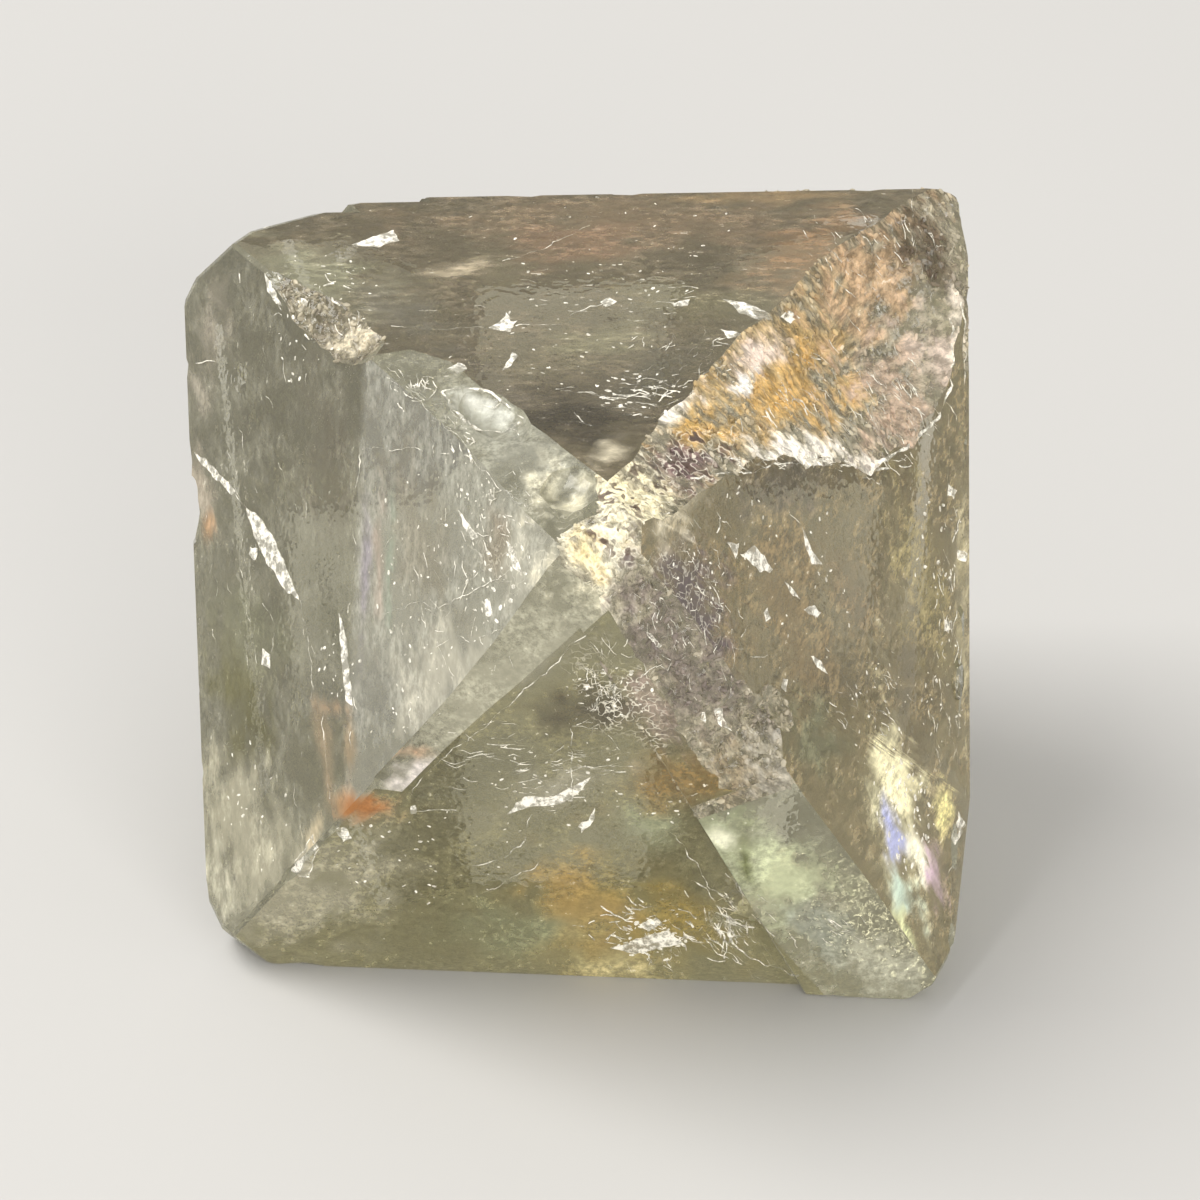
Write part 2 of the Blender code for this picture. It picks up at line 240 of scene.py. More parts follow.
def cut_triangle(corners, middles):
    """The parts of a triangle once each of its edges that has a middle point is split there."""
    for _ in corners:
        a, b, c = corners
        ab, bc, ca = (middles.get(frozenset(pair)) for pair in ((a, b), (b, c), (c, a)))
        if ab is not None and (ca is None or bc is not None):
            break
        corners = (b, c, a)
    if ab is None:
        return [corners]
    if bc is None:
        return [(a, ab, c), (ab, b, c)]
    if ca is None:
        return [(a, ab, c), (ab, bc, c), (ab, b, bc)]
    return [(a, ab, ca), (ab, b, bc), (ca, bc, c), (ab, bc, ca)]


def refined(points, triangles, limits):
    """Split triangles, each with its skin, until none has an edge over its skin's limit."""
    while True:
        middles = {}
        for corners, skin in triangles:
            for a, b in zip(corners, corners[1:] + corners[:1]) if skin in limits else []:
                if frozenset((a, b)) not in middles and (points[a] - points[b]).length > limits[skin]:
                    middles[frozenset((a, b))] = len(points)
                    points.append((points[a] + points[b]) / 2)
        if not middles:
            return triangles
        triangles = [(part, skin) for corners, skin in triangles for part in cut_triangle(corners, middles)]


NOISE_SEED = 11
noise.seed_set(NOISE_SEED)  # without it, the noise vectors below would come from the clock
TILT_SPREAD = 7.3  # sets the facets' middles so far apart in the noise that each tilts its own way


def facet_relief(place, size):
    """Height of a surface broken into small tilted facets, about -1 to 1."""
    site = noise.voronoi(place / size)[1][0]
    tilt = noise.noise_vector(site * TILT_SPREAD)
    return tilt.dot(place / size - site) * 2.0


def inside_planes(place):
    """The place moved back in if it stands outside any of the eight faces."""
    for normal, distance in PLANE.values():
        over = normal.dot(place) - distance
        if over > 0:
            place = place - normal * over
    return place


GRAIN = {  # longest edge left in each skin
    "bevel": 0.45, "broken": 0.27, "tail": 0.6, "upper": 0.8, "left": 0.55, "right": 0.8, "front": 0.8,
}
BREAK_RELIEF = {  # height and size of the facets
    "bevel": [(0.03, 2.4)], "broken": [(0.16, 1.1), (0.10, 0.45)], "tail": [(0.22, 2.6), (0.07, 0.9)],
}
RELIEF_BORDER = 0.6  # the facets fade out this close to the faces beside them


def rough_up(shape, number, skin):
    """Push the inner points of one skin in and out, by less towards the skin's border."""
    inner, border = [], []
    for vertex in shape.verts:
        skins = {SKINS[face[number]] for face in vertex.link_faces}
        if skins == {skin}:
            inner.append(vertex)
        elif skin in skins:
            border.append(vertex)
    tree = kdtree.KDTree(len(border))
    for index, vertex in enumerate(border):
        tree.insert(vertex.co, index)
    tree.balance()
    moved = []
    for vertex in inner:
        fade = min(1.0, tree.find(vertex.co)[2] / RELIEF_BORDER)
        push = sum(height * facet_relief(vertex.co, size) for height, size in BREAK_RELIEF[skin])
        moved.append((vertex, inside_planes(vertex.co + vertex.normal * push * fade)))
    for vertex, place in moved:
        vertex.co = place


def mesh_of(name, shape, scale=MM):
    """The mesh of a finished shape, brought from millimetres to metres."""
    bmesh.ops.scale(shape, vec=[scale] * 3, verts=shape.verts)
    mesh = bpy.data.meshes.new(name)
    shape.to_mesh(mesh)
    shape.free()
    return mesh


def crystal_mesh():
    """The crystal's own solid, merged, sorted into its faces and breaks, and its breaks made rough."""
    solid = bmesh.new()
    solid.from_mesh(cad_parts["fluorite_crystal"].data)
    bmesh.ops.remove_doubles(solid, verts=solid.verts, dist=1e-6)
    solid.verts.index_update()
    points = [vertex.co / MM for vertex in solid.verts]
    triangles = []
    for face in solid.faces:
        corners = tuple(vertex.index for vertex in face.verts)
        skin = face_of([points[i] for i in corners])
        if not skin and break_kind(face.calc_center_median() / MM):
            skin = "bevel"
        triangles.append((corners, skin or max(PLANE, key=lambda side: PLANE[side][0].dot(face.normal))))
    solid.free()
    triangles = refined(points, triangles, {"bevel": GRAIN["bevel"]})
    for i, (corners, skin) in enumerate(triangles):
        if skin == "bevel":
            middle = sum((points[j] for j in corners), Vector()) / 3
            triangles[i] = (corners, break_kind(middle) or "bevel")
    triangles = refined(points, triangles, GRAIN)
    shape = bmesh.new()
    number = shape.faces.layers.int.new("skin")
    vertices = [shape.verts.new(point) for point in points]
    for corners, skin in triangles:
        shape.faces.new([vertices[i] for i in corners])[number] = SKINS.index(skin)
    shape.normal_update()
    for skin in BREAK_RELIEF:
        rough_up(shape, number, skin)
    return mesh_of("crystal", shape)


class Link:
    """A socket of a tree that can stand in sums: each sign adds the node that works it out."""

    def __init__(self, tree, socket=None):
        self.tree, self.socket = tree, socket

    def node(self, kind, inputs=None, output=0, **settings):
        """Any node, of a shader if its kind says no more: its settings, then its inputs' values or links."""
        node = self.tree.nodes.new(kind if "Node" in kind else "ShaderNode" + kind)
        for name, value in settings.items():
            setattr(node, name, value)
        for name, value in (inputs or {}).items():
            if isinstance(value, Link):
                self.tree.links.new(value.socket, node.inputs[name])
            else:
                node.inputs[name].default_value = value
        return Link(self.tree, node.outputs[output])

    def math(self, operation, *values):
        return self.node("Math", dict(enumerate(values)), operation=operation)

    def __add__(self, other):
        return self.math("ADD", self, other)

    def __radd__(self, other):
        return self.math("ADD", other, self)

    def __sub__(self, other):
        return self.math("SUBTRACT", self, other)

    def __rsub__(self, other):
        return self.math("SUBTRACT", other, self)

    def __mul__(self, other):
        return self.math("MULTIPLY", self, other)

    def __rmul__(self, other):
        return self.math("MULTIPLY", other, self)


def scaled(value, times):
    """A vector or colour times a number."""
    return value.node("VectorMath", {0: value, "Scale": times}, operation="SCALE")


def from_to(value, low, high):
    """0 below low and 1 above high, smooth between; turned round if low is above high."""
    return value.node("MapRange", {"Value": value, "From Min": low, "From Max": high},
                      interpolation_type="SMOOTHSTEP")


def colour_mix(share, first, second):
    """The first colour, or the second where the share is 1."""
    return share.node("Mix", {0: share, 6: first, 7: second}, 2, data_type="RGBA")


def grain(place, size, detail, rough):
    """Fractal noise whose lumps are the given size, 0 to 1 about a half."""
    return place.node("TexNoise", {"Vector": place, "Scale": 1 / size, "Detail": detail, "Roughness": rough})


def start_material(name):
    """An empty material, and the place on the piece in millimetres."""
    material = bpy.data.materials.new(name)
    material.use_nodes = True
    material.node_tree.nodes.clear()
    return material, scaled(Link(material.node_tree).node("TexCoord", output="Object"), 1 / MM)


def finish_material(material, surface, absorption=None):
    """Wire the surface, and what clear stone swallows on the way through, to the output."""
    tree = material.node_tree
    output = tree.nodes.new("ShaderNodeOutputMaterial")
    tree.links.new(surface.socket, output.inputs["Surface"])
    if absorption:
        colour, density = absorption
        volume = tree.nodes.new("ShaderNodeVolumeAbsorption")
        volume.inputs["Color"].default_value = (*colour, 1.0)
        volume.inputs["Density"].default_value = density
        tree.links.new(volume.outputs[0], output.inputs["Volume"])
    return material


FLUORITE_IOR = 1.434
STONE_COLOUR, STONE_DENSITY = (0.55, 0.53, 0.36), 66.0  # what the stone lets through, and how fast it dims
LIGHT_GAIN = 0.82  # how bright a white matt surface stands in this room


def tone(*colour):
    """The matt colour that looks like this one, out of 255, in this room's light."""
    return (*((value / 255) ** 2.2 / LIGHT_GAIN for value in colour), 1.0)


crystal = linked("crystal", crystal_mesh())
STONE = BVHTree.FromPolygons([vertex.co / MM for vertex in crystal.data.vertices],
                             [tuple(polygon.vertices) for polygon in crystal.data.polygons])


def seen_at(x, y):
    """The point of the stone seen at a pixel of the frame, or the nearest one beside its outline."""
    start, direction = sight_line(x, y)
    place = STONE.ray_cast(start, direction)[0]
    return place or STONE.find_nearest(start + direction * (CENTRE - start).dot(direction))[0]


def smooth(value, low, high):
    """0 at low and 1 at high, smooth between, for arrays; turned round if low is above high."""
    share = np.clip((value - low) / (high - low), 0.0, 1.0)
    return share * share * (3 - 2 * share)


def oval(points, bend, fray, first, second, reach):
    """1 along a line between two pixels, falling to 0 at its reach; noise bends and frays its border."""
    start, end = seen_at(*first), seen_at(*second)
    span = end - start
    along = np.array(span.normalized()) if span.length > 0.01 else np.array((1.0, 0.0, 0.0))
    offset = points - np.array((start + end) / 2)
    lengthwise = offset @ along
    inside = (offset - np.outer(lengthwise, along)) / reach
    inside += np.outer(lengthwise / (span.length / 2 + reach), along)
    return smooth(np.linalg.norm(inside + bend, axis=1) + fray, 1.0, 0.25)


def strongest(points, bend, fray, spots):
    """The strongest of several ovals at each point, 0 away from them all."""
    masks = [strength * oval(points, bend, fray, *place) for *place, strength in spots]
    return np.max([np.zeros(len(points)), *masks], axis=0)


def stretched(points, along, times):
    """Points with their lengths along one direction shortened, so that a pattern on them is drawn out."""
    along = np.array(along)
    return points - np.outer(points @ along * (1 - 1 / times), along)


SIDE_BLUR = 0.2


def side_of(points, face, first, second):
    """1 on the right of a line drawn on a face between two pixels of the frame, 0 on its left."""
    start, end = on_face(face, *first), on_face(face, *second)
    across = (end - start).cross(PLANE[face][0]).normalized()
    across = across if across.x > 0 else -across
    return smooth((points - np.array(start)) @ np.array(across), -SIDE_BLUR, SIDE_BLUR)


UPPER_MARKS = {  # two pixels of the frame, reach, colour out of 255, and how much more haze
    "brown band": ((430, 225), (840, 215), 3.4, (140, 121, 98), 0.14),
    "pink heart": ((520, 250), (640, 236), 2.6, (142, 117, 94), 0.16),
    "orange end": ((785, 275), (835, 225), 2.6, (148, 118, 88), 0.18),
    "orange strip": ((700, 197), (850, 194), 1.0, (168, 142, 106), 0.12),
    "green corner": ((262, 262), (345, 296), 3.4, (152, 150, 124), 0.12),
    "dull corner": ((370, 300), (430, 330), 2.0, (124, 118, 104), 0.10),
    # dark middle and dark slope: painted shade, the dark ground and the stone's own shadow seen through the
    # top face
    "dark middle": ((520, 405), (610, 428), 3.4, (66, 60, 51), 0.26),
    "dark by the break": ((620, 400), (700, 350), 1.8, (108, 102, 88), 0.10),
    "dark slope": ((440, 350), (520, 400), 1.5, (112, 104, 90), 0.12),
    "cream cloud": ((428, 276), (470, 266), 1.0, (186, 172, 146), 0.25),
    "soft light": ((565, 355), (640, 325), 1.9, (142, 136, 110), 0.16),
    "green middle": ((640, 300), (740, 300), 2.4, (134, 126, 100), 0.10),
    "crumbled edge": ((620, 440), (600, 462), 0.8, (206, 196, 170), 0.35),
}
LEFT_MARKS = {
    "pale corner": ((215, 290), (205, 380), 1.8, (172, 164, 148), 0.15),
    "shade under the pit": ((320, 400), (335, 520), 2.6, (110, 106, 92), 0.32),
    "shade by the crack": ((315, 590), (342, 660), 1.2, (112, 111, 95), 0.12),
    "olive patch": ((228, 650), (255, 740), 2.6, (108, 105, 72), 0.16),
    "green side": ((215, 600), (290, 660), 2.0, (142, 142, 118), 0.05),
    "pale foot": ((220, 800), (270, 860), 3.4, (190, 185, 162), 0.22),
    "pale edge": ((205, 840), (232, 920), 1.2, (198, 194, 172), 0.20),
    "cream triangle": ((195, 470), (212, 525), 1.2, (186, 174, 156), 0.22),
    "rust tip": ((203, 537), (212, 520), 0.7, (180, 146, 112), 0.20),
    "grey middle": ((395, 470), (440, 600), 2.6, (156, 151, 136), 0.04),
    "bright foot": ((400, 710), (480, 660), 2.6, (194, 190, 173), 0.20),
    "brown shade": ((495, 530), (500, 560), 1.4, (148, 137, 121), 0.08),
    "pale by the nose": ((520, 610), (545, 500), 1.7, (190, 187, 172), 0.20),
    "cream nose": ((562, 490), (575, 590), 1.7, (228, 220, 192), 0.50),
    # violet, pink and green band: the cleavage crack inside is real, but its rainbow fringe is painted sheen,
    # light that the crack reflects
    "violet band": ((368, 470), (363, 660), 0.55, (150, 144, 152), 0.12),
    "pink band": ((381, 470), (377, 650), 0.45, (178, 163, 150), 0.12),
    "green band": ((391, 480), (388, 640), 0.40, (156, 166, 150), 0.10),
    "tan vein": ((322, 705), (330, 790), 0.85, (168, 150, 124), 0.22),
    "tan vein end": ((345, 712), (352, 770), 0.60, (164, 146, 120), 0.20),
    "tan frame": ((322, 706), (350, 708), 0.45, (172, 148, 120), 0.25),
    "cream tail": ((328, 800), (305, 862), 0.70, (194, 180, 150), 0.40),
}
RUST_MARKS = {  # the red stain, which runs over the edge onto the faces beside it
    "stain": ((338, 800), (386, 808), 1.3, (162, 130, 96), 0.40),
    "heart": ((348, 802), (376, 806), 0.8, (146, 98, 56), 0.40),
}
RIGHT_MARKS = {
    "violet shade": ((672, 560), (712, 660), 3.3, (88, 78, 80), 0.54),
    "brown middle": ((775, 540), (810, 680), 3.8, (128, 112, 84), 0.34),
    "brown patch": ((840, 580), (865, 600), 1.6, (138, 121, 94), 0.10),
    "dark crescent": ((725, 500), (850, 480), 1.4, (114, 106, 92), 0.10),
    "olive side": ((900, 500), (940, 660), 3.0, (150, 138, 99), 0.22),
    "pale rim": ((962, 440), (964, 740), 0.9, (184, 173, 140), 0.22),
    "green shade": ((790, 720), (830, 745), 2.0, (122, 121, 96), 0.06),
    "crumbled edge": ((700, 480), (620, 560), 1.2, (206, 196, 170), 0.30),
    "milky glow": ((880, 730), (908, 920), 2.5, (190, 184, 150), 0.30),
    # yellow white to lime: the thin crack inside is real, but its rainbow colours are painted sheen, light
    # that the crack reflects
    "yellow white": ((888, 765), (922, 800), 1.9, (236, 228, 186), 0.48),
    "yellow": ((940, 790), (946, 835), 0.9, (224, 213, 150), 0.50),
    "blue": ((891, 822), (898, 860), 1.1, (166, 170, 206), 0.46),
    "cream": ((915, 838), (920, 868), 0.8, (243, 238, 212), 0.50),
    "pink": ((928, 856), (938, 892), 1.0, (200, 175, 188), 0.50),
    "green": ((897, 885), (911, 918), 1.2, (190, 207, 190), 0.46),
    "lime": ((896, 925), (905, 945), 1.0, (206, 208, 160), 0.45),
}
FRONT_MARKS = {
    "pale left": ((250, 900), (340, 880), 4.4, (176, 170, 146), 0.16),
    # dark top: painted shade, the dark ground under the stone seen through the front face
    "dark top": ((560, 720), (630, 705), 3.0, (70, 63, 51), 0.50),
    "dark middle": ((430, 800), (540, 740), 2.4, (122, 118, 92), 0.10),
    "grey fringe": ((520, 670), (560, 640), 1.2, (152, 148, 130), 0.10),
    "brown cloud": ((650, 790), (712, 765), 2.6, (140, 116, 74), 0.22),
    "orange cloud": ((580, 900), (600, 960), 3.9, (164, 146, 94), 0.24),
    "orange drift": ((650, 890), (700, 950), 3.0, (150, 131, 74), 0.22),
    "orange grains": ((560, 870), (590, 930), 2.4, (168, 140, 84), 0.16),
    "yellow edge": ((555, 965), (690, 968), 1.3, (190, 178, 132), 0.20),
    "green spot": ((640, 815), (655, 840), 1.5, (158, 162, 130), 0.15),
    "green foot": ((480, 930), (545, 935), 2.4, (144, 146, 114), 0.10),
    "mauve patch": ((650, 690), (690, 730), 1.8, (148, 133, 121), 0.12),
    "milky veil": ((510, 805), (590, 780), 1.5, (178, 173, 153), 0.18),
}
BREAK_MARKS = {
    "gold belt": ((690, 445), (870, 290), 4.2, (180, 155, 110), 0.26),
    "gold heart": ((755, 400), (830, 375), 2.4, (186, 153, 98), 0.16),
    "gold low": ((680, 440), (712, 415), 1.5, (190, 155, 92), 0.20),
    "gold far": ((845, 390), (865, 385), 1.2, (196, 164, 106), 0.14),
    "tan end": ((840, 310), (895, 235), 3.6, (174, 148, 118), 0.20),
    "pink fan": ((870, 440), (930, 370), 3.2, (182, 160, 140), 0.24),
    "white fan": ((925, 340), (945, 380), 1.7, (192, 176, 162), 0.16),
    # dark window: painted shade, the dark beyond a clear spot of the break
    "dark window": ((922, 228), (942, 285), 1.8, (92, 80, 66), 0.14),
    "pale right rim": ((958, 300), (960, 400), 0.8, (214, 204, 188), 0.30),
    "violet gaps": ((668, 475), (705, 450), 1.4, (112, 94, 92), 0.30),
    "white ridge": ((640, 420), (700, 385), 1.2, (228, 221, 208), 0.40),
    "white facets": ((742, 368), (772, 342), 1.1, (206, 190, 176), 0.20),
    "bright facet": ((738, 390), (752, 374), 0.5, (228, 226, 220), 0.30),
    "white shore": ((745, 462), (835, 455), 1.3, (240, 235, 224), 0.46),
    "shore end": ((845, 463), (890, 468), 0.8, (232, 224, 210), 0.40),
    "cream nose": ((570, 500), (605, 585), 3.0, (230, 225, 202), 0.46),
    "cream crumbs": ((615, 480), (655, 520), 2.4, (218, 209, 174), 0.44),
    "yellow nose": ((585, 545), (597, 580), 1.0, (222, 205, 156), 0.30),
    "mauve break": ((650, 590), (730, 710), 3.3, (122, 112, 105), 0.14),
    "brown crumbs": ((722, 760), (760, 790), 1.8, (150, 136, 112), 0.08),
    "grey chips": ((760, 745), (785, 800), 1.2, (166, 160, 146), 0.20),
    "dark pit": ((300, 300), (385, 375), 1.6, (122, 114, 98), 0.10),
    "pit crumbs": ((345, 335), (362, 345), 0.9, (206, 196, 172), 0.30),
}
BEVEL_MARKS = {
    "upper left strip": ((440, 385), (585, 500), 3.4, (170, 169, 154), 0.16),
    "lower left strip": ((440, 735), (590, 615), 3.2, (184, 181, 161), 0.16),
    "white wedge": ((398, 784), (434, 762), 1.1, (214, 206, 200), 0.45),
    "wedge rust": ((400, 756), (436, 752), 0.5, (196, 162, 132), 0.30),
    "green strip": ((692, 815), (800, 905), 3.0, (172, 178, 145), 0.26),
    "white chunks": ((722, 836), (735, 845), 0.8, (214, 214, 188), 0.40),
    "dark crease": ((741, 822), (750, 895), 0.6, (122, 124, 96), 0.14),
    "dark inner tip": ((805, 915), (842, 950), 1.5, (150, 154, 142), 0.16),
    "tip": ((860, 960), (905, 985), 2.0, (184, 183, 164), 0.22),
    "cream nose": ((560, 490), (600, 600), 1.8, (224, 217, 188), 0.34),
    "oval chip": ((468, 402), (502, 418), 1.25, (198, 199, 188), 0.26),
    "oval light": ((468, 400), (478, 404), 0.4, (214, 214, 204), 0.12),
    "olive crease": ((744, 850), (752, 885), 0.35, (88, 92, 52), 0.20),
    "green grains": ((765, 860), (800, 890), 1.4, (190, 196, 160), 0.20),
}

vertical = (on_face("left", 380, 720) - on_face("left", 380, 420)).normalized()
rightward = (on_face("right", 900, 620) - on_face("right", 850, 720)).normalized()
fibres = (seen_at(900, 400) - seen_at(862, 350)).normalized()
PLAIN = {  # stains, painted shade and sheen, lighter sides, way and length of the fine grain, its size, strength and ragged borders
    "marks": {}, "sides": [], "along": rightward, "times": 1.0, "grain": 0.34, "grit": 1.0, "rag": 0.35,
}
SKIN_LOOKS = {  # colour, share of haze, and what differs from plain
    "upper": {"colour": (132, 120, 100), "haze": 0.26, "marks": UPPER_MARKS, "along": (1.0, 0.0, 0.0),
              "times": 2.2},
    "left": {"colour": (146, 144, 128), "haze": 0.27, "marks": LEFT_MARKS, "along": vertical, "times": 1.9,
             "grit": 0.7, "sides": [((361, 440), (349, 700), (170, 169, 157), 0.12)]},
    "right": {"colour": (138, 121, 88), "haze": 0.32, "marks": RIGHT_MARKS, "times": 1.8, "grit": 1.5,
              "rag": 0.5, "sides": [((744, 540), (741, 700), (148, 133, 102), 0.0)]},
    "front": {"colour": (144, 138, 102), "haze": 0.28, "marks": FRONT_MARKS},
    "resting": {"colour": (206, 201, 176), "haze": 0.80},
    "back_left": {"colour": (180, 176, 150), "haze": 0.28},
    "back_right": {"colour": (180, 175, 148), "haze": 0.28},
    "back_upper": {"colour": (176, 166, 142), "haze": 0.28},
    "broken": {"colour": (166, 158, 138), "haze": 0.40, "marks": BREAK_MARKS, "along": fibres, "times": 2.6,
               "grain": 0.30, "grit": 1.3, "rag": 0.6},
    "bevel": {"colour": (162, 160, 141), "haze": 0.32, "marks": BEVEL_MARKS, "grit": 0.8},
    "tail": {"colour": (190, 184, 160), "haze": 0.36, "grit": 1.6},
}
for skin in ("left", "front", "bevel"):
    SKIN_LOOKS[skin]["marks"].update({f"rust {part}": mark for part, mark in RUST_MARKS.items()})
FAN = {  # fibres that spread from one spot over a reach, the size of their weave, and how far crumbs are thin
    "root": seen_at(800, 385), "middle": seen_at(900, 345), "reach": 4.4,
    "turns": 17.0, "length": 1.1, "depth": 0.5, "bare": 3.4,
}
NETS = {  # where fine white threads curl in the faces: two pixels, reach and strength
    "right": [((670, 540), (700, 660), 3.0, 0.45)],
    "front": [((600, 660), (640, 730), 2.4, 0.8)],
    "bevel": [((560, 500), (596, 590), 2.2, 0.5), ((700, 880), (740, 930), 1.4, 0.4)],
    "left": [((480, 560), (560, 560), 2.4, 0.4)],
}
GAPS = {  # where crumbs lie in curls round dark gaps, in the same way
    "broken": [((600, 560), (660, 470), 2.6, 0.9), ((660, 470), (735, 440), 1.8, 1.0),
               ((760, 462), (890, 466), 0.8, 0.7)],
}
BEND_SIZE, BEND = 1.6, 0.45  # lumps that bend the borders of the stains and of the painted shade and sheen
FRAYS, PATCHES = (0.6, 0.7), (0.5, 0.8)  # rate and gain of the noise that frays those borders, and of patches
PATCH_EDGE = 0.35  # how softly patches end
PATCH_HAZE, PATCH_GRIT = (-0.05, 0.14), (0.25, 0.75)  # haze and grit between patches, and more in them
GAP_CURLS = 0.7  # how strong the curls are round a full gap


def fanned(points, weave):
    """The grain place, turned into turns round a root and distance from it where the fibres spread."""
    ahead = (FAN["middle"] - FAN["root"]).normalized()
    normal = (PLANE["upper"][0] + PLANE["right"][0]).normalized()
    offset = points - np.array(FAN["root"])
    ways = (ahead, normal.cross(ahead).normalized(), normal)
    forward, sideways, up = (offset @ np.array(way) for way in ways)
    spread = np.column_stack([np.arctan2(sideways, forward) * FAN["turns"],
                              np.linalg.norm(offset, axis=1) / FAN["length"], up / FAN["depth"]])
    near = np.linalg.norm(points - np.array(FAN["middle"]), axis=1) < FAN["reach"]
    return np.where(near[:, None], spread, weave)


def fractal(points, rate, gain):
    """Lumpy noise at each point, about -1 to 1."""
    return np.array([noise.fractal(Vector(p) * rate, gain, 2.0, 3) for p in points])


def painted(points, skin):
    """Colour and share of haze, grit, curls, dark gaps and grain place of the points of one skin."""
    look = {**PLAIN, **SKIN_LOOKS[skin]}
    bend = np.array([noise.noise_vector(Vector(p) / BEND_SIZE) for p in points]) * BEND
    weave = stretched(points, look["along"], look["times"]) / look["grain"]
    weave = fanned(points, weave) if skin == "broken" else weave
    fray = fractal(weave, *FRAYS) * look["rag"]
    patchy = smooth(fractal(points, *PATCHES), -PATCH_EDGE, PATCH_EDGE)
    tint = np.tile(tone(*look["colour"]), (len(points), 1))
    haze = look["haze"] + patchy * PATCH_HAZE[1] + PATCH_HAZE[0]
    # the sides and marks: stains, and also painted shade and painted sheen, each blended into tint and haze
    stains_and_painted_light = [(side_of(points, skin, *line), colour, more) for *line, colour, more in look["sides"]]
    stains_and_painted_light += [(oval(points, bend, fray, first, second, reach), colour, more)
               for first, second, reach, colour, more in look["marks"].values()]
    for mask, colour, more in stains_and_painted_light:
        tint += mask[:, None] * (np.array(tone(*colour)) - tint)
        haze += mask * more
    gaps = strongest(points, bend, fray, GAPS.get(skin, []))
    curls = np.maximum(strongest(points, bend, fray, NETS.get(skin, [])), GAP_CURLS * gaps)
    even = np.ones(len(points)) if skin == "broken" else patchy * PATCH_GRIT[1] + PATCH_GRIT[0]
    return {"tint": tint, "haze": haze, "grit": look["grit"] * even, "curls": curls, "gaps": gaps,
            "weave": weave}


def carry(mesh, name, domain, values, kind="FLOAT", part="value"):
    """Store a value on each point, face or corner of a mesh, for its tree or material to read."""
    mesh.attributes.new(name, kind, domain).data.foreach_set(part, values)


def paint(mesh):
    """Store the look of each triangle's skin on its corners, so that one material can read it."""
    places = np.empty(len(mesh.vertices) * 3)
    mesh.vertices.foreach_get("co", places)
    places = places.reshape(-1, 3) / MM
    corners = np.empty(len(mesh.loops), dtype=int)
    mesh.loops.foreach_get("vertex_index", corners)
    skins = np.repeat([entry.value for entry in mesh.attributes["skin"].data], 3)
    stored = {}
    for skin in np.unique(skins):
        chosen = np.flatnonzero(skins == skin)
        vertices, back = np.unique(corners[chosen], return_inverse=True)
        for name, values in painted(places[vertices], SKINS[skin]).items():
            stored.setdefault(name, np.zeros((len(corners), *values.shape[1:])))[chosen] = values[back]
    kinds = {"tint": ("FLOAT_COLOR", "color"), "weave": ("FLOAT_VECTOR", "vector")}
    for name, values in stored.items():
        carry(mesh, name, "CORNER", values.ravel(), *kinds.get(name, ()))


WISPS, WISP_CONTRAST, WISP_HAZE = (0.36, 0.66), 0.52, 0.24  # stretch of the fine noise, and what it varies
SPECKS, SPECK_COVER, SPECK_HAZE = (0.655, 0.70), 0.6, 0.4
SWIRL_SIZE, CURL_LINE, DARK_SIDE = 0.42, (0.04, 0.005), (-0.04, -0.10)  # curls run where the swirl is nought
SPECK_COLOUR, GAP_COLOUR = tone(222, 217, 200), tone(84, 70, 64)
BUMP_HEIGHT = 0.08


def fluorite(name, clear):
    """Fluorite with its painted haze, stains, shade and sheen: fine grain, white specks, curled crumbs and
    dark gaps.
    """
    material, place = start_material(name)
    tint, weave, haze, grit, curls, gaps = (
        place.node("Attribute", output=output, attribute_name=key) for key, output in (
            ("tint", 0), ("weave", 1), ("haze", 2), ("grit", 2), ("curls", 2), ("gaps", 2)))
    fine = grain(weave, 1.0, 4.0, 0.76)
    wisps = (from_to(fine, *WISPS) - 0.5) * grit
    swirl = grain(place, SWIRL_SIZE, 1.0, 0.6) - 0.5
    stained = scaled(tint, wisps * WISP_CONTRAST + 1.0)
    body = colour_mix(from_to(swirl, *DARK_SIDE) * gaps, stained, GAP_COLOUR)
    speck = place.math("MAXIMUM", from_to(fine, *SPECKS) * SPECK_COVER,
                       from_to(place.math("ABSOLUTE", swirl), *CURL_LINE) * curls)
    body = colour_mix(speck, body, SPECK_COLOUR)
    bump = place.node("Bump", {"Strength": 0.4, "Distance": BUMP_HEIGHT * MM, "Height": swirl})
    shared = {"Base Color": body, "Normal": bump}
    if not clear:
        return finish_material(material, place.node("BsdfPrincipled", {
            **shared, "Roughness": 0.36, "IOR": FLUORITE_IOR}))
    cloud = place.node("BsdfPrincipled", {**shared, "Roughness": 0.3, "Specular IOR Level": 0.3})
    glass = place.node("BsdfPrincipled", {
        **shared, "Base Color": (0.98, 0.985, 0.96, 1.0), "Roughness": wisps * 0.12 + 0.06,
        "IOR": FLUORITE_IOR, "Transmission Weight": 1.0})
    share = place.node("Clamp", {"Value": haze + wisps * WISP_HAZE + speck * SPECK_HAZE})
    surface = place.node("MixShader", {0: share, 1: glass, 2: cloud})
    return finish_material(material, surface, (STONE_COLOUR, STONE_DENSITY))


def fitted(piece, material):
    """The piece with its one material, riding on the stone."""
    piece.data.materials.clear()
    piece.data.materials.append(material)
    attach(piece, "root")
    return piece


paint(crystal.data)
fitted(crystal, fluorite("clear fluorite", True))
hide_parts("fluorite_crystal")


# Chips: clean splinters lifted along the cleavage and the white scars they leave, thin flakes that lie in
# the faces. They are part of the stone, seen white because air stands behind them.

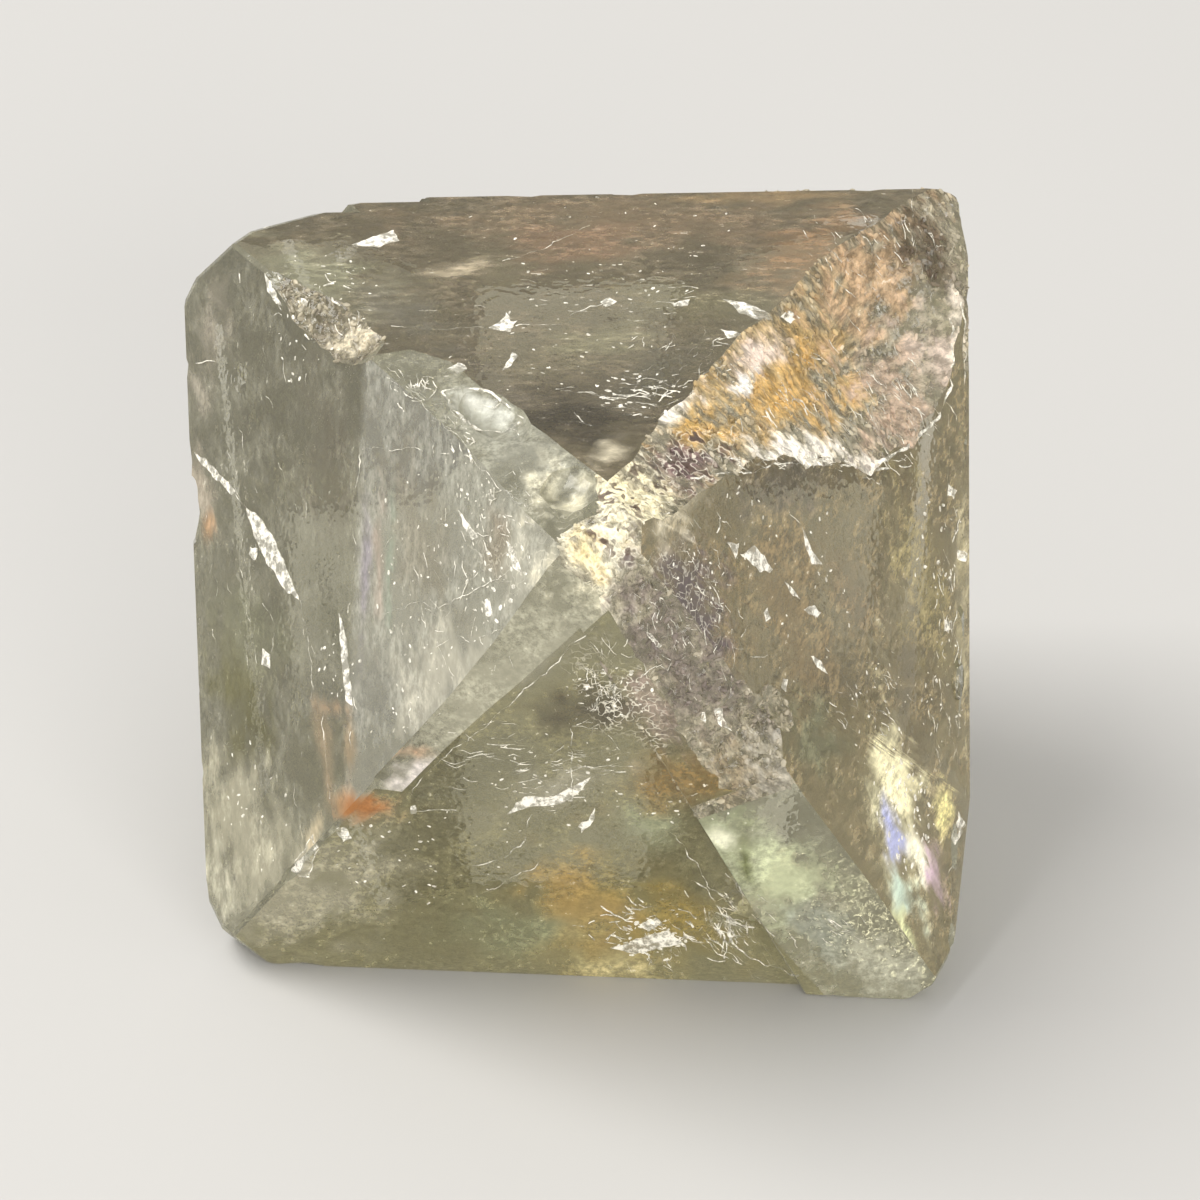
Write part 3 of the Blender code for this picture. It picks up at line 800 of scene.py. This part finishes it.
CHIPS = {  # each flake's outline in pixels of the frame
    "long leaf": [(724, 299), (745, 302), (772, 318), (758, 320), (740, 313)],
    "short leaf": [(721, 329), (735, 332), (747, 341), (729, 338)],
    "oval": [(781, 316), (789, 311), (799, 318), (789, 323)],
    "star": [(488, 328), (499, 323), (506, 313), (511, 321), (517, 320), (511, 331), (499, 330)],
    "blade": [(503, 371), (511, 352), (519, 356), (512, 366)],
    "smear": [(352, 245), (372, 237), (393, 230), (398, 241), (378, 247)],
    "rim fleck": [(258, 212), (270, 208), (268, 214)],
    "dash": [(670, 303), (690, 300), (688, 305), (674, 307)],
    "strip top scar": [(449, 368), (458, 363), (468, 369), (458, 373)],
    "near break": [(600, 302), (609, 297), (616, 301), (606, 306)],
    "bright wedge": [(738, 386), (752, 372), (757, 380), (748, 392)],
    "lens": [(246, 508), (262, 519), (275, 541), (286, 568), (299, 600), (284, 588), (266, 562), (254, 534)],
    "streak": [(194, 453), (206, 459), (236, 492), (232, 495), (204, 466)],
    "white seam": [(339, 612), (346, 638), (353, 706), (346, 702), (341, 655)],
    "left pip": [(250, 546), (257, 550), (256, 560), (250, 556)],
    "left pip low": [(262, 650), (270, 655), (270, 668), (262, 664)],
    "corner dash": [(264, 273), (271, 281), (281, 306), (276, 305), (268, 290)],
    "thorn": [(459, 510), (466, 519), (478, 538), (473, 540), (464, 527)],
    "thorn end": [(483, 540), (487, 548), (492, 557), (486, 551)],
    "cream rag": [(507, 541), (514, 549), (522, 572), (514, 568), (509, 558)],
    "rag low": [(484, 600), (490, 598), (492, 615), (486, 616)],
    "cream flake": [(313, 833), (318, 846), (309, 878), (292, 872), (303, 850)],
    "step scar": [(300, 297), (308, 301), (306, 306), (299, 303)],
    "three corner": [(726, 541), (739, 543), (736, 559)],
    "bright chip": [(740, 555), (755, 545), (764, 556), (773, 571), (760, 571)],
    "thin chip": [(784, 582), (790, 585), (801, 599), (793, 595)],
    "pale chip": [(804, 609), (814, 605), (821, 612), (815, 618)],
    "pip": [(764, 612), (768, 609), (771, 619), (766, 621)],
    "low chip": [(811, 656), (818, 660), (828, 673), (817, 669)],
    "low pip": [(783, 678), (787, 679), (786, 691), (782, 688)],
    "notch": [(713, 709), (723, 707), (722, 718), (731, 731), (719, 724)],
    "notch by": [(700, 712), (705, 712), (706, 722), (700, 720)],
    "mauve chip": [(647, 632), (653, 634), (662, 646), (656, 650)],
    "wave": [(802, 526), (808, 538), (815, 556), (823, 565), (812, 563), (805, 545)],
    "rim one": [(948, 483), (957, 490), (954, 500), (948, 494)],
    "rim two": [(957, 548), (967, 553), (966, 562), (958, 560)],
    "rim three": [(944, 620), (950, 623), (949, 634), (944, 630)],
    "rim four": [(958, 812), (966, 824), (956, 845), (952, 838)],
    "veil crest": [(508, 814), (525, 796), (556, 798), (574, 787), (592, 777), (578, 794), (556, 805),
                   (530, 806)],
    "foot fleck": [(410, 806), (415, 805), (416, 814), (411, 814)],
    "cream pearl": [(336, 828), (345, 827), (352, 838), (343, 842)],
    "sparkle": [(612, 948), (640, 938), (668, 930), (684, 944), (660, 947), (635, 955)],
    "sparkle high": [(640, 925), (655, 918), (664, 922), (650, 931)],
    "brown scar": [(577, 825), (588, 820), (596, 808), (594, 821), (582, 833)],
}
CHIP_THICKNESS, CHIP_RIM, CHIP_CROWN = 0.05, 0.2, 0.5  # rim and crown stand proud by shares of the first
CHIP_STEP, CHIP_JAG, CHIP_LUMP = 0.16, 0.12, 0.35  # spacing, depth and size of the jags of a flake's edge


def ragged(points, seed):
    """Points on the stone along a closed outline, close together and each pushed off it a little."""
    outline = []
    for start, end in zip(points, points[1:] + points[:1]):
        count = max(1, round((end - start).length / CHIP_STEP))
        for i in range(count):
            spot = start.lerp(end, i / count)
            pushed = spot + noise.noise_vector(spot / CHIP_LUMP + Vector((seed, 0, 0))) * CHIP_JAG
            outline.append(STONE.find_nearest(pushed)[0])
    return outline


def add_flake(shape, outline):
    """A thin closed flake set in the stone's surface, just proud of it and crowned at the middle."""
    middle, normal = STONE.find_nearest(sum(outline, Vector()) / len(outline))[:2]
    top = [shape.verts.new(spot + normal * CHIP_RIM * CHIP_THICKNESS) for spot in outline]
    low = [shape.verts.new(spot - normal * CHIP_THICKNESS) for spot in outline]
    crown = shape.verts.new(middle + normal * CHIP_CROWN * CHIP_THICKNESS)
    root = shape.verts.new(middle - normal * CHIP_THICKNESS)
    for i in range(len(outline)):
        j = (i + 1) % len(outline)
        for corners in ((top[i], top[j], crown), (low[j], low[i], root), (top[j], top[i], low[i], low[j])):
            shape.faces.new(corners)


def white_scar(name, colour, rough, cover):
    """White broken stone, mottled and worn through to the clear stone where its cover is thin."""
    material, place = start_material(name)
    mottle = from_to(grain(place, 0.40, 3.0, 0.72), 0.38, 0.60)
    body = colour_mix(mottle, tone(*colour), tone(236, 232, 220))
    scar = place.node("BsdfPrincipled", {"Base Color": body, "Roughness": rough, "IOR": FLUORITE_IOR,
                                         "Alpha": mottle * (1 - cover) + cover})
    return finish_material(material, scar)


chips = bmesh.new()
for number, outline in enumerate(CHIPS.values()):
    add_flake(chips, ragged([seen_at(x, y) for x, y in outline], number))
bmesh.ops.recalc_face_normals(chips, faces=chips.faces)
SCAR = white_scar("white scar", (196, 193, 180), 0.30, 0.35)
fitted(linked("cleavage_chips", mesh_of("cleavage_chips", chips)), SCAR)


# Hairline cracks: healed fractures, step edges and bundles of fibres that show as fine white threads in
# the faces. They are broken fluorite in the stone's own skin, a tenth of a millimetre wide or less.

CRACKS = {  # width, then the thread's path in pixels of the frame
    "upper level": (0.05, [(390, 327), (430, 330), (470, 327), (488, 328)]),
    "upper level tail": (0.07, [(515, 325), (540, 324), (562, 325)]),
    "upper dots": (0.05, [(570, 315), (600, 305), (650, 300), (700, 297)]),
    "upper high": (0.04, [(500, 262), (540, 250), (590, 226)]),
    "fan one": (0.07, [(625, 377), (650, 378), (675, 386)]),
    "fan two": (0.07, [(612, 395), (640, 393), (672, 398)]),
    "fan three": (0.05, [(640, 404), (664, 405), (680, 400)]),
    "fan four": (0.06, [(573, 413), (585, 424), (612, 426)]),
    "fan five": (0.04, [(560, 390), (600, 396), (640, 410)]),
    "oval rim": (0.22, [(443, 392), (452, 408), (466, 422), (480, 431), (503, 431), (522, 423)]),
    "oval top": (0.18, [(443, 392), (470, 388), (497, 397), (525, 420)]),
    "oval crack": (0.06, [(458, 393), (468, 402), (478, 404), (474, 414)]),
    "oval crack by": (0.06, [(478, 404), (492, 408), (500, 402)]),
    "strip dash": (0.08, [(505, 424), (519, 436)]),
    "strip line": (0.05, [(381, 363), (403, 381), (427, 411), (461, 441), (481, 467), (505, 493),
                          (530, 517)]),
    "left long": (0.07, [(236, 494), (250, 512)]),
    "left down": (0.06, [(299, 600), (308, 640), (313, 662), (311, 700)]),
    "inner edge": (0.06, [(361, 440), (357, 480), (350, 505), (349, 520), (356, 545), (352, 580),
                          (349, 612)]),
    "bow one": (0.05, [(385, 612), (420, 602), (436, 610), (470, 592), (505, 575)]),
    "bow two": (0.04, [(430, 520), (470, 533), (510, 536)]),
    "bow three": (0.04, [(360, 448), (395, 449), (420, 447)]),
    "bow four": (0.04, [(435, 630), (470, 640), (500, 628)]),
    "tan edge": (0.07, [(322, 712), (324, 745), (327, 775), (330, 800)]),
    "tan edge by": (0.07, [(350, 712), (352, 745), (357, 770)]),
    "corner tick": (0.06, [(197, 365), (215, 362)]),
    "lower left edge": (0.06, [(405, 798), (450, 752), (487, 724), (560, 658), (596, 624)]),
    "right arc": (0.08, [(709, 490), (713, 505), (720, 516), (716, 534)]),
    "right arc low": (0.07, [(718, 516), (730, 528), (735, 538)]),
    "right run": (0.05, [(784, 509), (800, 524)]),
    "right double": (0.05, [(731, 629), (733, 660), (731, 691)]),
    "right trail": (0.05, [(840, 672), (852, 690), (862, 708), (884, 712), (903, 730)]),
    "violet one": (0.05, [(706, 576), (714, 590), (722, 612)]),
    "shore": (0.12, [(690, 478), (722, 474), (756, 471), (800, 458), (845, 465), (887, 469)]),
    "fan rim": (0.22, [(872, 468), (905, 448), (938, 416), (950, 392)]),
    "fan rim high": (0.16, [(950, 392), (952, 350), (950, 318)]),
    "rim streak": (0.09, [(962, 300), (965, 345), (964, 392)]),
    "veil high": (0.05, [(486, 745), (510, 744), (527, 745)]),
    "veil right": (0.05, [(567, 753), (590, 754), (618, 749)]),
    "veil level": (0.06, [(514, 771), (545, 769), (573, 770)]),
    "veil post": (0.05, [(571, 721), (572, 760), (571, 802)]),
    "veil far": (0.06, [(574, 768), (600, 766), (625, 762)]),
    "veil crest": (0.08, [(508, 814), (527, 796), (556, 798), (574, 787), (592, 777), (625, 772)]),
    "veil low": (0.06, [(445, 876), (470, 865), (490, 862), (511, 855), (525, 838), (530, 815)]),
    "veil slope": (0.05, [(480, 895), (510, 880), (540, 862)]),
    "foot dash": (0.06, [(413, 811), (435, 811), (456, 808)]),
    "ledge line": (0.15, [(692, 880), (706, 886), (724, 916), (742, 925), (754, 928)]),
    "ledge low": (0.15, [(727, 932), (735, 948), (752, 958), (797, 976)]),
    "crease": (0.07, [(667, 825), (701, 871), (712, 890)]),
    "sparkle one": (0.09, [(611, 935), (640, 944), (686, 940)]),
    "sparkle two": (0.08, [(598, 905), (625, 920), (650, 918), (668, 930)]),
    "sparkle three": (0.07, [(630, 958), (655, 950), (680, 955)]),
}
STROKE_FIELDS = {  # middle and half size in pixels, how many, their length, slant and its spread, width
    "fan fibres": ((888, 402), (52, 56), 110, 26, 52, 16, 0.040),
    "gold fibres": ((800, 390), (60, 50), 120, 16, 50, 24, 0.035),
    "ridge ribs": ((855, 262), (48, 40), 70, 16, 50, 16, 0.040),
    "dark window lines": ((930, 250), (24, 50), 20, 30, 60, 60, 0.035),
    "mauve strokes": ((680, 605), (62, 95), 130, 16, 65, 80, 0.040),
    "curly net": ((606, 690), (34, 50), 70, 20, 80, 90, 0.045),
    "right rim streaks": ((948, 640), (18, 200), 70, 22, 86, 12, 0.045),
    "right low grain": ((870, 700), (60, 40), 40, 14, 50, 40, 0.035),
    "inner triangle": ((430, 600), (74, 110), 60, 26, 86, 50, 0.030),
    "left side": ((260, 520), (60, 200), 40, 24, 84, 20, 0.030),
    "front level": ((540, 765), (90, 45), 60, 26, 176, 22, 0.035),
    "front sparkles": ((655, 930), (56, 36), 120, 16, 20, 60, 0.060),
    "strip end": ((770, 930), (50, 40), 20, 26, 45, 16, 0.035),
    "ledge crackle": ((725, 920), (28, 36), 60, 20, 50, 60, 0.070),
    "upper level": ((600, 305), (130, 26), 30, 18, 177, 10, 0.030),
    "upper fan": ((620, 400), (50, 22), 30, 26, 5, 10, 0.045),
    "shore": ((800, 462), (88, 9), 70, 14, 20, 60, 0.060),
    "ridge crumbs": ((690, 370), (60, 50), 60, 12, 140, 60, 0.055),
    "strip crumbs high": ((412, 388), (26, 16), 34, 11, 40, 70, 0.080),
    "strip crumbs middle": ((458, 440), (22, 26), 30, 10, 50, 70, 0.070),
    "strip crumbs low": ((512, 500), (26, 30), 26, 11, 55, 70, 0.060),
    "corner crumbs": ((300, 310), (44, 40), 30, 12, 50, 60, 0.080),
    "icy tip": ((850, 935), (40, 30), 10, 34, 42, 20, 0.050),
}


def strokes(middle, half, count, length, slant, spread, width):
    """Short bent paths in pixels of the frame, scattered round a middle and lying along a slant."""
    draw = Random(sum(middle) * 7 + count)
    for _ in range(count):
        x, y = (draw.gauss(m, h / 2) for m, h in zip(middle, half))
        turn = radians(draw.gauss(slant, spread / 2))
        reach, bow = length * draw.uniform(0.35, 1.2) / 2, draw.uniform(-0.25, 0.25)
        across, down = cos(turn) * reach, sin(turn) * reach
        yield width * draw.uniform(0.5, 1.3), [(x + across * t - down * bow * (1 - t * t),
                                                y + down * t + across * bow * (1 - t * t))
                                               for t in (-1, 0, 1)]


def start_tree(name, *numbers):
    """An empty tree of Geometry Nodes, and the links of its inputs: a geometry, numbers and a material."""
    tree = bpy.data.node_groups.new(name, "GeometryNodeTree")
    labels = ("Geometry", *numbers, "Material")
    for label in labels:
        kind = "Float" if label in numbers else label
        tree.interface.new_socket(label, in_out="INPUT", socket_type="NodeSocket" + kind)
    tree.interface.new_socket("Geometry", in_out="OUTPUT", socket_type="NodeSocketGeometry")
    start = tree.nodes.new("NodeGroupInput")
    return {label: Link(tree, start.outputs[label]) for label in labels}


def finish_tree(start, geometry):
    """The tree, ended with real geometry that has the tree's material."""
    real = geometry.node("GeometryNodeRealizeInstances", {"Geometry": geometry})
    done = geometry.node("GeometryNodeSetMaterial", {"Geometry": real, "Material": start["Material"]})
    geometry.tree.links.new(done.socket, geometry.tree.nodes.new("NodeGroupOutput").inputs[0])
    return geometry.tree


def grown(name, mesh, tree, material, numbers):
    """A piece of the plain mesh that a tree makes of a source mesh."""
    source = linked(name, mesh)
    modifier = source.modifiers.new(name, "NODES")
    modifier.node_group = tree
    values = {**numbers, "Material": material}
    for item in tree.interface.items_tree:
        if item.name in values:
            modifier[item.identifier] = values[item.name]
    bpy.context.view_layer.update()
    result = bpy.data.meshes.new_from_object(source.evaluated_get(bpy.context.evaluated_depsgraph_get()))
    bpy.data.objects.remove(source)
    return fitted(linked(name, result), material)


THREAD_JAGS, THREAD_SWELLS = 1400.0, 900.0  # lumps in a metre of the noise that kinks and thickens threads


def thread_tree():
    """Turns edges into thin closed threads that wander and change in width."""
    start = start_tree("threads", "Step", "Wander")
    add = start["Geometry"].node
    curve = add("GeometryNodeMeshToCurve", {"Mesh": start["Geometry"]})
    fine = add("GeometryNodeResampleCurve", {"Curve": curve, "Length": start["Step"]}, mode="LENGTH")
    place = add("GeometryNodeInputPosition")
    jag = add("TexNoise", {"Vector": place, "Scale": THREAD_JAGS, "Detail": 2.0}, "Color")
    offset = scaled(add("VectorMath", {0: jag, 1: (0.5, 0.5, 0.5)}, operation="SUBTRACT"), start["Wander"])
    moved = add("GeometryNodeSetPosition", {"Geometry": fine, "Offset": offset})
    uneven = add("TexNoise", {"Vector": place, "Scale": THREAD_SWELLS, "Detail": 1.0})
    swell = add("MapRange", {"Value": uneven, "From Min": 0.38, "From Max": 0.62,
                             "To Min": 0.05, "To Max": 1.1})
    radius = add("GeometryNodeInputNamedAttribute", {"Name": "width"}, data_type="FLOAT") * swell
    sized = add("GeometryNodeSetCurveRadius", {"Curve": moved, "Radius": radius})
    ring = add("GeometryNodeCurvePrimitiveCircle", {"Resolution": 5, "Radius": 0.5})
    tubes = add("GeometryNodeCurveToMesh", {"Curve": sized, "Profile Curve": ring, "Scale": radius,
                                            "Fill Caps": True})
    return finish_tree(start, tubes)


threads = bpy.data.meshes.new("crack paths")
thread_points, thread_edges, thread_widths = [], [], []
THREAD_STEP = 8  # pixels between the points where a thread is laid on the stone
THREAD_GAP = 2.0  # a thread ends where the stone falls away by more than this
CRACK_WIDTH = 0.8  # share of the widths above that the cracks keep


def lay_thread(width, path):
    """Lay a path on the stone, point by point, wherever the sight line meets it."""
    previous = None
    for (x0, y0), (x1, y1) in zip(path, path[1:]):
        count = max(1, round(sqrt((x1 - x0) ** 2 + (y1 - y0) ** 2) / THREAD_STEP))
        for i in range(count + 1 if (x1, y1) == path[-1] else count):
            line = sight_line(x0 + (x1 - x0) * i / count, y0 + (y1 - y0) * i / count)
            place = STONE.ray_cast(*line)[0]
            if place and previous and (place - previous).length < THREAD_GAP:
                thread_edges.append((len(thread_points) - 1, len(thread_points)))
            if place:
                thread_points.append(place * MM)
                thread_widths.append(width * MM)
            previous = place


for width, path in CRACKS.values():
    lay_thread(width * CRACK_WIDTH, path)
for field in STROKE_FIELDS.values():
    for width, path in strokes(*field):
        lay_thread(width, path)
threads.from_pydata(thread_points, thread_edges, [])
carry(threads, "width", "POINT", thread_widths)
grown("hairline_cracks", threads, thread_tree(), SCAR, {"Step": 0.0002, "Wander": 0.0005})


# Flecks: hundreds of tiny cleavage splinters of the stone itself, held where they formed, just in the
# skin of its faces, where they catch the light.

FLECKS = {  # face, pixel at the middle, reach, how many, longest
    "by the nose": ("left", (500, 575), 2.3, 46, 0.36),
    "inner left": ("left", (430, 570), 4.2, 60, 0.26),
    "left strip edge": ("left", (480, 470), 1.8, 40, 0.26),
    "left foot": ("left", (255, 800), 3.0, 26, 0.30),
    "left low middle": ("left", (400, 735), 2.2, 40, 0.24),
    "left seam": ("left", (340, 660), 1.6, 24, 0.26),
    "left high": ("left", (300, 330), 2.4, 26, 0.26),
    "right rim": ("right", (950, 560), 3.0, 46, 0.34),
    "right rim low": ("right", (945, 690), 2.4, 36, 0.30),
    "right low": ("right", (880, 720), 2.6, 50, 0.26),
    "rainbow": ("right", (905, 820), 2.4, 90, 0.42),
    "right middle": ("right", (800, 600), 4.2, 36, 0.26),
    "right high": ("right", (740, 510), 2.0, 20, 0.28),
    "mauve": ("right", (690, 600), 2.2, 46, 0.22),
    "front sparkle": ("front", (650, 940), 1.5, 60, 0.36),
    "front veil": ("front", (560, 780), 3.0, 50, 0.26),
    "front brown": ("front", (680, 800), 2.0, 26, 0.26),
    "front net": ("front", (610, 690), 1.7, 60, 0.30),
    "front foot": ("front", (430, 850), 4.0, 36, 0.24),
    "upper fan": ("upper", (640, 390), 1.8, 30, 0.34),
    "upper level": ("upper", (600, 305), 4.0, 40, 0.26),
    "upper middle": ("upper", (520, 370), 3.0, 20, 0.26),
    "upper back": ("upper", (600, 230), 5.5, 50, 0.24),
    "green corner": ("upper", (320, 280), 2.4, 26, 0.28),
    "pit": ("upper", (345, 343), 1.0, 24, 0.36),
    "back left": ("back_left", None, 9.0, 120, 0.34),
    "back right": ("back_right", None, 9.0, 120, 0.34),
    "back upper": ("back_upper", None, 9.0, 120, 0.34),
}


FLECK_TILT = 0.15
FLECK_SIZES = (0.25, 1.0, 3), (0.25, 0.7, 4)  # range and seed: share of the longest, then width to length


def fleck_tree():
    """Scatters thin splinters over patches, each lying in its patch and turned and sized at random."""
    start = start_tree("flecks", "Seed", "Thickness")
    add = start["Geometry"].node
    crowd, longest = (add("GeometryNodeInputNamedAttribute", {"Name": name}, data_type="FLOAT")
                      for name in ("crowd", "longest"))
    seed = add("FunctionNodeFloatToInt", {"Float": start["Seed"]})
    points = add("GeometryNodeDistributePointsOnFaces",
                 {"Mesh": start["Geometry"], "Density": crowd, "Seed": seed})
    lying = Link(points.tree, points.socket.node.outputs["Rotation"])
    spin = add("FunctionNodeRandomValue", {"Min": (-FLECK_TILT, -FLECK_TILT, 0.0),
                                           "Max": (FLECK_TILT, FLECK_TILT, 2 * pi)}, data_type="FLOAT_VECTOR")
    turned = add("FunctionNodeRotateRotation", {0: lying, 1: spin}, rotation_space="LOCAL")
    length, width = (add("FunctionNodeRandomValue", {2: low, 3: high, "Seed": seed}, 1, data_type="FLOAT")
                     for low, high, seed in FLECK_SIZES)
    long = longest * length
    size = add("CombineXYZ", {0: long, 1: long * width, 2: start["Thickness"]})
    shard = add("GeometryNodeMeshIcoSphere", {"Radius": 0.5, "Subdivisions": 1})
    return finish_tree(start, add("GeometryNodeInstanceOnPoints", {
        "Points": points, "Instance": shard, "Rotation": turned, "Scale": size}))


patches = bpy.data.meshes.new("fleck patches")
patch_points, patch_faces, patch_crowds, patch_lengths = [], [], [], []
PATCH_RINGS, PATCH_SPOKES = 5, 20
PATCH_DROP = 2.0  # a patch is laid on the stone from this high, and from no further below
PATCH_LEVEL = 0.8  # how well the stone has to lie in the face


def lay_patch(centre, normal, reach, count, longest):
    """A round patch of triangles laid on the stone from straight above; parts beside a face are left out."""
    u = normal.orthogonal().normalized()
    v = normal.cross(u)
    grid = {}
    for ring in range(PATCH_RINGS + 1):
        for spoke in range(PATCH_SPOKES):
            turn = 2 * pi * spoke / PATCH_SPOKES
            above = centre + (u * cos(turn) + v * sin(turn)) * (reach * ring / PATCH_RINGS)
            place, facing = STONE.ray_cast(above + normal * PATCH_DROP, -normal, 2 * PATCH_DROP)[:2]
            if place and facing.dot(normal) > PATCH_LEVEL:
                grid[ring, spoke] = len(patch_points)
                patch_points.append(place * MM)
    for ring in range(1, PATCH_RINGS + 1):
        for spoke in range(PATCH_SPOKES):
            after = (spoke + 1) % PATCH_SPOKES
            corners = [(ring - 1, spoke), (ring, spoke), (ring, after), (ring - 1, after)]
            corners = corners if ring > 1 else corners[:3]
            if all(corner in grid for corner in corners):
                patch_faces.append(tuple(grid[corner] for corner in corners))
                patch_crowds.append(count / (pi * reach ** 2 * MM ** 2))
                patch_lengths.append(longest * MM)


for face, middle, reach, count, longest in FLECKS.values():
    centre = seen_at(*middle) if middle else sum((CORNER[c] for c in FACES[face]), Vector()) / 3
    lay_patch(centre, PLANE[face][0], reach, count, longest)
patches.from_pydata(patch_points, [], patch_faces)
carry(patches, "crowd", "FACE", patch_crowds)
carry(patches, "longest", "FACE", patch_lengths)
grown("cleavage_flecks", patches, fleck_tree(), white_scar("glint", (216, 212, 198), 0.22, 0.5),
      {"Seed": 5.0, "Thickness": 0.00005})


# Crumbs: loose-looking angular grains that stand on the crumbled ridges, held by the stone they broke
# from; each is rusty, cream or white like the spot of the break that it grows on.

CRUMB_CROWD = 5.0  # grains in a square millimetre
CRUMB_LONGEST = 0.42
BARE_FAN = 0.12  # share of the crumbs that still lie where the fibres fan out


def crumb_ground():
    """The rough ridges of the crystal, painted like it, as the ground that crumbs grow on."""
    ground = bmesh.new()
    ground.from_mesh(crystal.data)
    skin, broken = ground.faces.layers.int["skin"], SKINS.index("broken")
    bmesh.ops.delete(ground, context="FACES", geom=[face for face in ground.faces if face[skin] != broken])
    mesh = mesh_of("crumb ground", ground, 1.0)
    bare = [(polygon.center / MM - FAN["middle"]).length < FAN["bare"] for polygon in mesh.polygons]
    carry(mesh, "crowd", "FACE", [CRUMB_CROWD / MM ** 2 * (BARE_FAN if thin else 1) for thin in bare])
    carry(mesh, "longest", "FACE", [CRUMB_LONGEST * MM] * len(bare))
    return mesh


grown("ridge_crumbs", crumb_ground(), fleck_tree(), fluorite("crumbs", False),
      {"Seed": 11.0, "Thickness": 0.00016})
